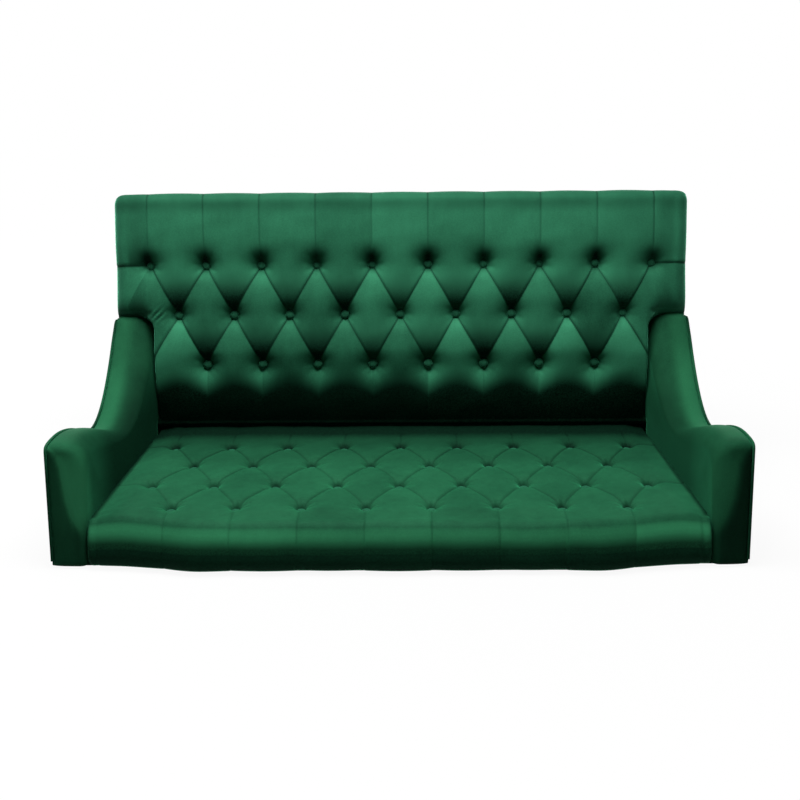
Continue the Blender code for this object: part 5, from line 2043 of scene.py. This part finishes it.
@dataclass
class Buttons:
    """Covered buttons, set into the tufts of the back and the seat."""

    radius: float = 0.0095
    rise: float = 0.0062
    seat_gap: float = 0.0005
    wobble: Place = (0.10, 0.10, 3.1)
    steps: int = 9

    def item(self) -> Piece:
        """Build one domed button with a gathered rim.

        Returns:
            The button, for use as an item of a tree.
        """
        profile = []
        for step in range(self.steps + 1):
            turn = QUARTER * step / self.steps
            radius = max(self.radius * math.sin(turn) ** 0.9, 1e-5)
            profile.append((radius, self.rise * math.cos(turn) ** 0.8))
        profile += [(self.radius * 0.99, -0.0010), (self.radius * 0.80, -0.0024), (1e-5, -0.0030)]
        return turned("covered_button", profile, 24)

    def build(self, trees: Trees, back: BackCushion, seat: SeatCushion, material: Finish) -> None:
        """Set the buttons of both cushions.

        Args:
            trees: The Geometry Nodes trees.
            back: The back.
            seat: The seat.
            material: The buttons' velvet.
        """
        item = self.item()
        on_back = [back.to_world(x, self.seat_gap, t) for x, t in back.tufting.buttons()]
        level = seat.level + self.seat_gap
        on_seat = [(x, seat.first_row_y + t, level) for x, t in seat.tufting.buttons()]
        up = Vector((0.0, 0.0, 1.0))
        for name, places, facing, seed in (
            ("back_buttons", on_back, back.facing(), 31), ("seat_buttons", on_seat, up, 37),
        ):
            values = {"Item": item, "Facing": facing, "Wobble": self.wobble, "Seed": seed}
            values["Finish"] = material
            piece = trees.grow(name, trees.on_points, places, values, joined=False)
            dress(piece, material, "green_velvet")
        bpy.data.objects.remove(item, do_unlink=True)


@dataclass
class OutsideBack:
    """Velvet-covered panel on the rear of the back, and the piping round it."""

    back: BackCushion
    front: float = 0.0888
    rear: float = 0.0917
    bottom: float = 0.0041
    half: float = 0.6277
    top: float = 0.3745
    inset: float = 0.0015
    corner_x: float = 0.026
    corner_t: float = 0.014
    corner_parts: int = 12
    side_parts: int = 24
    domes: tuple[Point, ...] = ((0.0020, 0.003), (0.0030, 0.08))
    piping: float = 0.0027

    def edge(self, inset: float) -> list[Point]:
        """Return the panel's outline from its lower left corner over the top.

        Args:
            inset: How far the line lies inside the panel's edge.

        Returns:
            Places across and up the slope.
        """
        low = self.back.slope_at(self.rear, self.bottom)
        half, top = self.half - inset, self.top - inset
        shares = np.linspace(0.0, 1.0, self.side_parts)
        line = [(-half, mix(low, top - self.corner_t, share)) for share in shares]
        for turn in quarter_turns(self.corner_parts):
            x = -half + self.corner_x * (1.0 - math.cos(turn))
            line.append((x, top - self.corner_t * (1.0 - math.sin(turn))))
        left = list(line)
        line += [((half - self.corner_x) * share, top) for share in np.linspace(-1.0, 1.0, 50)[1:]]
        return line + [(-x, t) for x, t in reversed(left)][1:]

    def build(self, trees: Trees, material: Finish) -> None:
        """Build the panel and its piping.

        Args:
            trees: The Geometry Nodes trees.
            material: The panel's velvet.
        """
        loop = self.edge(self.inset)
        half = self.half - self.inset
        loop += [(x, loop[0][1]) for x in np.linspace(half, -half, 50)[1:-1]]
        corners, faces = board(loop, 0.018, self.front, self.domes)
        x, t, depth = corners.T
        panel = add_mesh("outside_back", self.back.to_world(x, depth, t), faces)
        turn_outwards(panel)
        dress(panel, material, "green_velvet", "outside_back_panel")
        path = [self.back.to_world(x, self.front - 0.0005, t) for x, t in self.edge(-0.0012)]
        values = {"Radius": self.piping, "Sides": CORD_SIDES, "Finish": material}
        piping = trees.grow("back_piping", trees.piping, path, values)
        dress(piping, material, "green_velvet")


@dataclass
class Underside:
    """Dust cover with its staples, turned-under hems and the screws of the leg plates."""

    seat: SeatCushion
    half: float = 0.6135
    rear_y: float = 0.2110
    front_gap: float = 0.0175
    sheet_inset: float = 0.012
    sheet_thickness: float = 0.0004
    hem_outset: float = 0.012
    hem_wider: float = 0.006
    hem_lap: float = 0.010
    hem_low: float = 0.0034
    hem_high: float = 0.0040
    level: float = 0.0029
    staple_step: float = 0.045
    staple_inset: float = 0.020
    screw_reach: float = 0.024
    rails: tuple[str, ...] = (
        "seat_front_rail", "seat_rear_rail", "left_side_rail", "right_side_rail",
    )

    def outline(self, inset: float, wider: float = 0.0) -> list[Point]:
        """Return the cover's outline, bowed at the front.

        Args:
            inset: How far the line lies inside the cover's largest outline.
            wider: How far the two sides then move out again.

        Returns:
            Places once round.
        """
        half, rear = self.half - inset + wider, self.rear_y - inset
        xs = np.linspace(-half, half, 61)
        front = [float(self.seat.front_edge(x)) + self.front_gap + inset for x in xs]
        line = [(float(x), y) for x, y in zip(xs, front)]
        line += [(half, y) for y in np.linspace(front[-1], rear, 24)[1:]]
        line += [(float(x), rear) for x in xs[::-1][1:]]
        line += [(-half, y) for y in np.linspace(rear, front[0], 24)[1:-1]]
        return line

    def build(self, trees: Trees, lining: Finish, zinc: Finish, velvet: Finish) -> None:
        """Build the hem, sheet, staples and screws.

        Args:
            trees: The Geometry Nodes trees.
            lining: The sheet's finish.
            zinc: Finish of the staples and screws.
            velvet: The hem's finish.
        """
        self.hem(velvet)
        self.sheet(lining)
        staple, screw = self.staple(), self.screw()
        path = [(x, y, self.level - 0.0012) for x, y in self.outline(self.staple_inset)]
        values = {"Item": staple, "Facing": DOWN, "Step": self.staple_step, "Finish": zinc}
        staples = trees.grow("dust_staples", trees.on_path, path + path[:1], values)
        dress(staples, zinc, "zinc_steel")

        spots = []
        reaches = (-self.screw_reach, self.screw_reach)
        for name in ("front_left", "front_right", "rear_left", "rear_right"):
            low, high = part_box(name + "_leg_plate")
            middle = (Vector(low) + Vector(high)) / 2
            spots += [(middle.x + a, middle.y + b, 0.0009) for a in reaches for b in reaches]
        values = {"Item": screw, "Facing": DOWN, "Wobble": (0.0, 0.0, 3.1), "Seed": 41}
        values["Finish"] = zinc
        screws = trees.grow("plate_screws", trees.on_points, spots, values, joined=False)
        dress(screws, zinc, "zinc_steel")
        for item in (staple, screw):
            bpy.data.objects.remove(item, do_unlink=True)

    def sheet(self, lining: Finish) -> None:
        """Build the dust sheet, hanging a little in the middle.

        Args:
            lining: The sheet's finish.
        """
        loop = self.outline(self.sheet_inset)
        places, triangles = fill(loop, 0.020)
        rim = np.array(loop)
        points = []
        for place in places:
            sag = 0.0004 * (1.0 - math.exp(-clearance(rim, place) / 0.1))
            sag += 0.0002 * float(waves(place.x, place.y, 0.12, 3))
            points.append((place.x, place.y, self.level - max(sag, 0.0)))
        sheet = add_mesh("dust_sheet", points, triangles)
        thicken(sheet, self.sheet_thickness, 1.0)
        for polygon in sheet.data.polygons:
            if polygon.normal.z > 0.0:
                polygon.flip()
        dress(sheet, lining, "black_lining", "dust_cover")

    def hem(self, velvet: Finish) -> None:
        """Build the velvet's edges, turned under the rails and held by the dust sheet.

        Args:
            velvet: The hem's finish.
        """
        outer = self.outline(-self.hem_outset, self.hem_wider)
        inner = self.outline(self.sheet_inset + self.hem_lap)
        points = [(x, y, self.hem_low) for x, y in outer + inner]
        points += [(x, y, self.hem_high) for x, y in inner + outer]
        loops = rings(4, len(outer))
        piece = add_mesh("turned_hem", points, join_loops(loops + loops[:1]), smooth=False)
        turn_outwards(piece)
        dress(piece, velvet, "green_velvet")

    def staple(self) -> Piece:
        """Build one staple: a flat crown with two short bent legs.

        Returns:
            The staple, for use as an item of a tree.
        """
        half, wire, leg = 0.005, 0.0005, 0.0016
        inside = half - 2 * wire
        line = [(-half, -leg), (-half, 0.0), (-half + wire, wire)]
        line += [(half - wire, wire), (half, 0.0), (half, -leg)]
        line += [(inside, -leg), (inside, -wire), (-inside, -wire), (-inside, -leg)]
        mesh = bpy.data.meshes.new("staple")
        with editing(mesh) as builder:
            for y in (-wire, wire):
                builder.faces.new([builder.verts.new((x, y, z)) for x, z in line])
            builder.verts.ensure_lookup_table()
            for step in range(len(line)):
                after = (step + 1) % len(line)
                corners = (step, after, len(line) + after, len(line) + step)
                builder.faces.new([builder.verts[corner] for corner in corners])
            bmesh.ops.recalc_face_normals(builder, faces=builder.faces)
        return link("staple", mesh)

    def screw(self) -> Piece:
        """Build one pan-head screw with a cross recess.

        Returns:
            The screw, for use as an item of a tree.
        """
        recess = 0.0009
        profile = [(1e-5, 0.0011), (0.0022, 0.0010), (0.0036, 0.0004), (0.0040, -0.0004)]
        item = turned("screw", profile + [(1e-5, -0.0006)], 16)
        with editing(item.data) as builder:
            for vert in builder.verts:
                radius = math.hypot(vert.co.x, vert.co.y)
                angle = math.atan2(vert.co.y, vert.co.x)
                in_cross = radius < 0.001 or abs(math.sin(2.0 * angle)) < 0.1
                if vert.co.z > recess and in_cross:
                    vert.co.z -= recess
        return item


@dataclass
class Studio:
    """Pale floor, soft overhead light and the camera of the photograph."""

    focal_px: float = 1062.0
    frame_px: float = 800.0
    place: Place = (0.030, -2.085, 0.866)
    pitch: float = 17.38
    yaw: float = 0.815
    roll: float = -0.542
    lamp_height: float = 2.05
    shadow: float = 0.08
    floor_half: float = 9.0
    floor_level: float = -0.0015
    surround: float = 0.018

    def camera(self) -> None:
        """Place the camera at the photograph's viewing angle."""
        data = bpy.data.cameras.new("camera")
        data.sensor_width = 36.0
        data.lens = self.focal_px * data.sensor_width / self.frame_px
        item = link("camera", data)
        item.location = self.place
        turn = Matrix.Rotation(math.radians(self.yaw), 3, "Z")
        turn @= Matrix.Rotation(math.radians(90.0 - self.pitch), 3, "X")
        turn @= Matrix.Rotation(math.radians(self.roll), 3, "Z")
        item.rotation_euler = turn.to_euler()
        bpy.context.scene.camera = item

    def lamp(self, name: str, place: Place, aim: Place, size: Point, power: float) -> None:
        """Add a soft rectangular lamp.

        Args:
            name: Name of the lamp.
            place: Where it hangs.
            aim: What it points at.
            size: Its width and height.
            power: Its power in watts.
        """
        data = bpy.data.lights.new(name, "AREA")
        data.shape = "RECTANGLE"
        data.size, data.size_y = size
        data.energy = power
        item = link(name, data)
        item.location = place
        way = Vector(aim) - Vector(place)
        item.rotation_euler = way.to_track_quat("-Z", "Y").to_euler()

    def floor(self) -> None:
        """Lay a pale floor that keeps a soft shadow, and is clear from below."""
        turns = ((-1, -1), (1, -1), (1, 1), (-1, 1))
        corners = [(a * self.floor_half, b * self.floor_half, self.floor_level) for a, b in turns]
        floor = add_mesh("floor", corners, [(0, 1, 2, 3)], smooth=False)
        material, graph = start_material("pale_floor")
        paint = graph.node("ShaderNodeBsdfDiffuse", {"Color": colour(0.42, 0.42, 0.42)})
        places = graph.node("ShaderNodeTexCoord").outputs["Object"]
        away = graph.node("ShaderNodeVectorMath", {0: places}, operation="LENGTH")
        away = Value(graph, away.outputs["Value"])
        lit = (self.lamp_height**2 / (self.lamp_height**2 + away**2.0)) ** 2.0
        white = graph.grey((1.0 - self.shadow * lit) / (1.0 - self.shadow))
        glow = graph.node("ShaderNodeEmission", {"Color": white, "Strength": 1.0})
        share = graph.seen().between(0.0, 1.0) * (1.0 - self.shadow)
        clear = graph.node("ShaderNodeBsdfTransparent")
        below = graph.node("ShaderNodeNewGeometry").outputs["Backfacing"]
        graph.end(graph.either(below, graph.either(share, paint, glow), clear))
        floor.data.materials.append(material)

    def world(self) -> None:
        """Set a dim, even surround that the camera sees as white."""
        world = bpy.data.worlds.new("studio")
        bpy.context.scene.world = world
        world.use_nodes = True
        graph = Graph(world.node_tree)
        dim, white = (
            graph.node("ShaderNodeBackground", {"Color": colour(1.0, 1.0, 1.0), "Strength": level})
            for level in (self.surround, 1.0)
        )
        graph.end(graph.either(graph.seen(), dim, white), "World")

    def build(self) -> None:
        """Set up camera, floor, lamps and view."""
        self.camera()
        self.floor()
        self.world()
        above = (-0.20, -0.20, self.lamp_height)
        self.lamp("overhead", above, (-0.10, 0.02, 0.2), (1.6, 0.8), 98.0)
        self.lamp("front_fill", (-0.8, -3.2, 1.8), (0.0, 0.0, 0.3), (2.4, 1.6), 1.5)
        self.lamp("rear_fill", (0.0, 3.0, 1.8), (0.0, 0.2, 0.3), (2.6, 1.6), 30.0)
        bpy.context.scene.view_settings.view_transform = "Standard"


class Finishes:
    """All materials of the loveseat by the record's slots."""

    def __init__(self) -> None:
        """Build each material once."""
        # The back, seat, arm, trim and piping velvets are lighter and darker copies of one velvet,
        # as painted light and shade.
        warm = {"light": colour(0.031, 0.21, 0.092), "rim_tint": colour(0.10, 0.80, 0.38)}
        shaded_copy = {"depth": 0.58, "gloss": 0.02, **warm}
        self.back = Velvet(brushed=0.13).material("velvet_back")
        self.seat = Velvet(brushed=-0.04, depth=0.78, **warm).material("velvet_seat")
        self.arm = Velvet(rim=0.35, **shaded_copy).material("velvet_arm")
        self.trim = Velvet(depth=0.85).material("velvet_trim")
        self.piping = Velvet(rim=0.25, **shaded_copy).material("velvet_piping")
        foam = Cloth(colour(0.84, 0.75, 0.50), colour(0.70, 0.58, 0.34), 700.0, 0.0008)
        ply = Timber(colour(0.70, 0.54, 0.34), colour(0.48, 0.34, 0.19), (1.0, 0.1, 1.0))
        jute = Cloth(colour(0.44, 0.32, 0.17), colour(0.22, 0.15, 0.07), 500.0, 0.0006)
        lining = Cloth(colour(0.030, 0.030, 0.032), colour(0.010, 0.010, 0.011), 900.0, 0.0002)
        self.by_slot = {
            "green_velvet": self.arm,
            "cream_foam": foam.material("foam"),
            "beech": Timber().material("beech_grain"),
            "birch_ply": ply.material("ply"),
            "jute_webbing": jute.material("jute"),
            "black_lining": lining.material("lining"),
            "zinc_steel": Plated().material("zinc"),
        }

    def dress_solids(self) -> None:
        """Give every solid that stays the finish of its slot."""
        for entry in frame["record"]["subparts"]:
            solid = frame["nodes"][entry["node"]]
            solid.data.materials.clear()
            solid.data.materials.append(self.by_slot[entry["material_slot"]])


def main() -> None:
    """Build the loveseat's looks piece by piece."""
    logging.basicConfig(level=logging.INFO, format="%(name)s %(message)s")
    finishes = Finishes()
    finishes.dress_solids()
    trees = Trees()
    back = BackCushion()
    seat = SeatCushion()
    back.build(finishes.back)
    seat.build(finishes.seat)
    Buttons().build(trees, back, seat, finishes.trim)
    for side in Side:
        arm = Arm(side, back)
        arm.pad(finishes.arm)
        arm.outside(finishes.arm)
        arm.welt(trees, finishes.piping)
    OutsideBack(back).build(trees, finishes.arm)
    lining, zinc = (finishes.by_slot[slot] for slot in ("black_lining", "zinc_steel"))
    Underside(seat).build(trees, lining, zinc, finishes.arm)
    Studio().build()


if __name__ == "__main__":
    main()
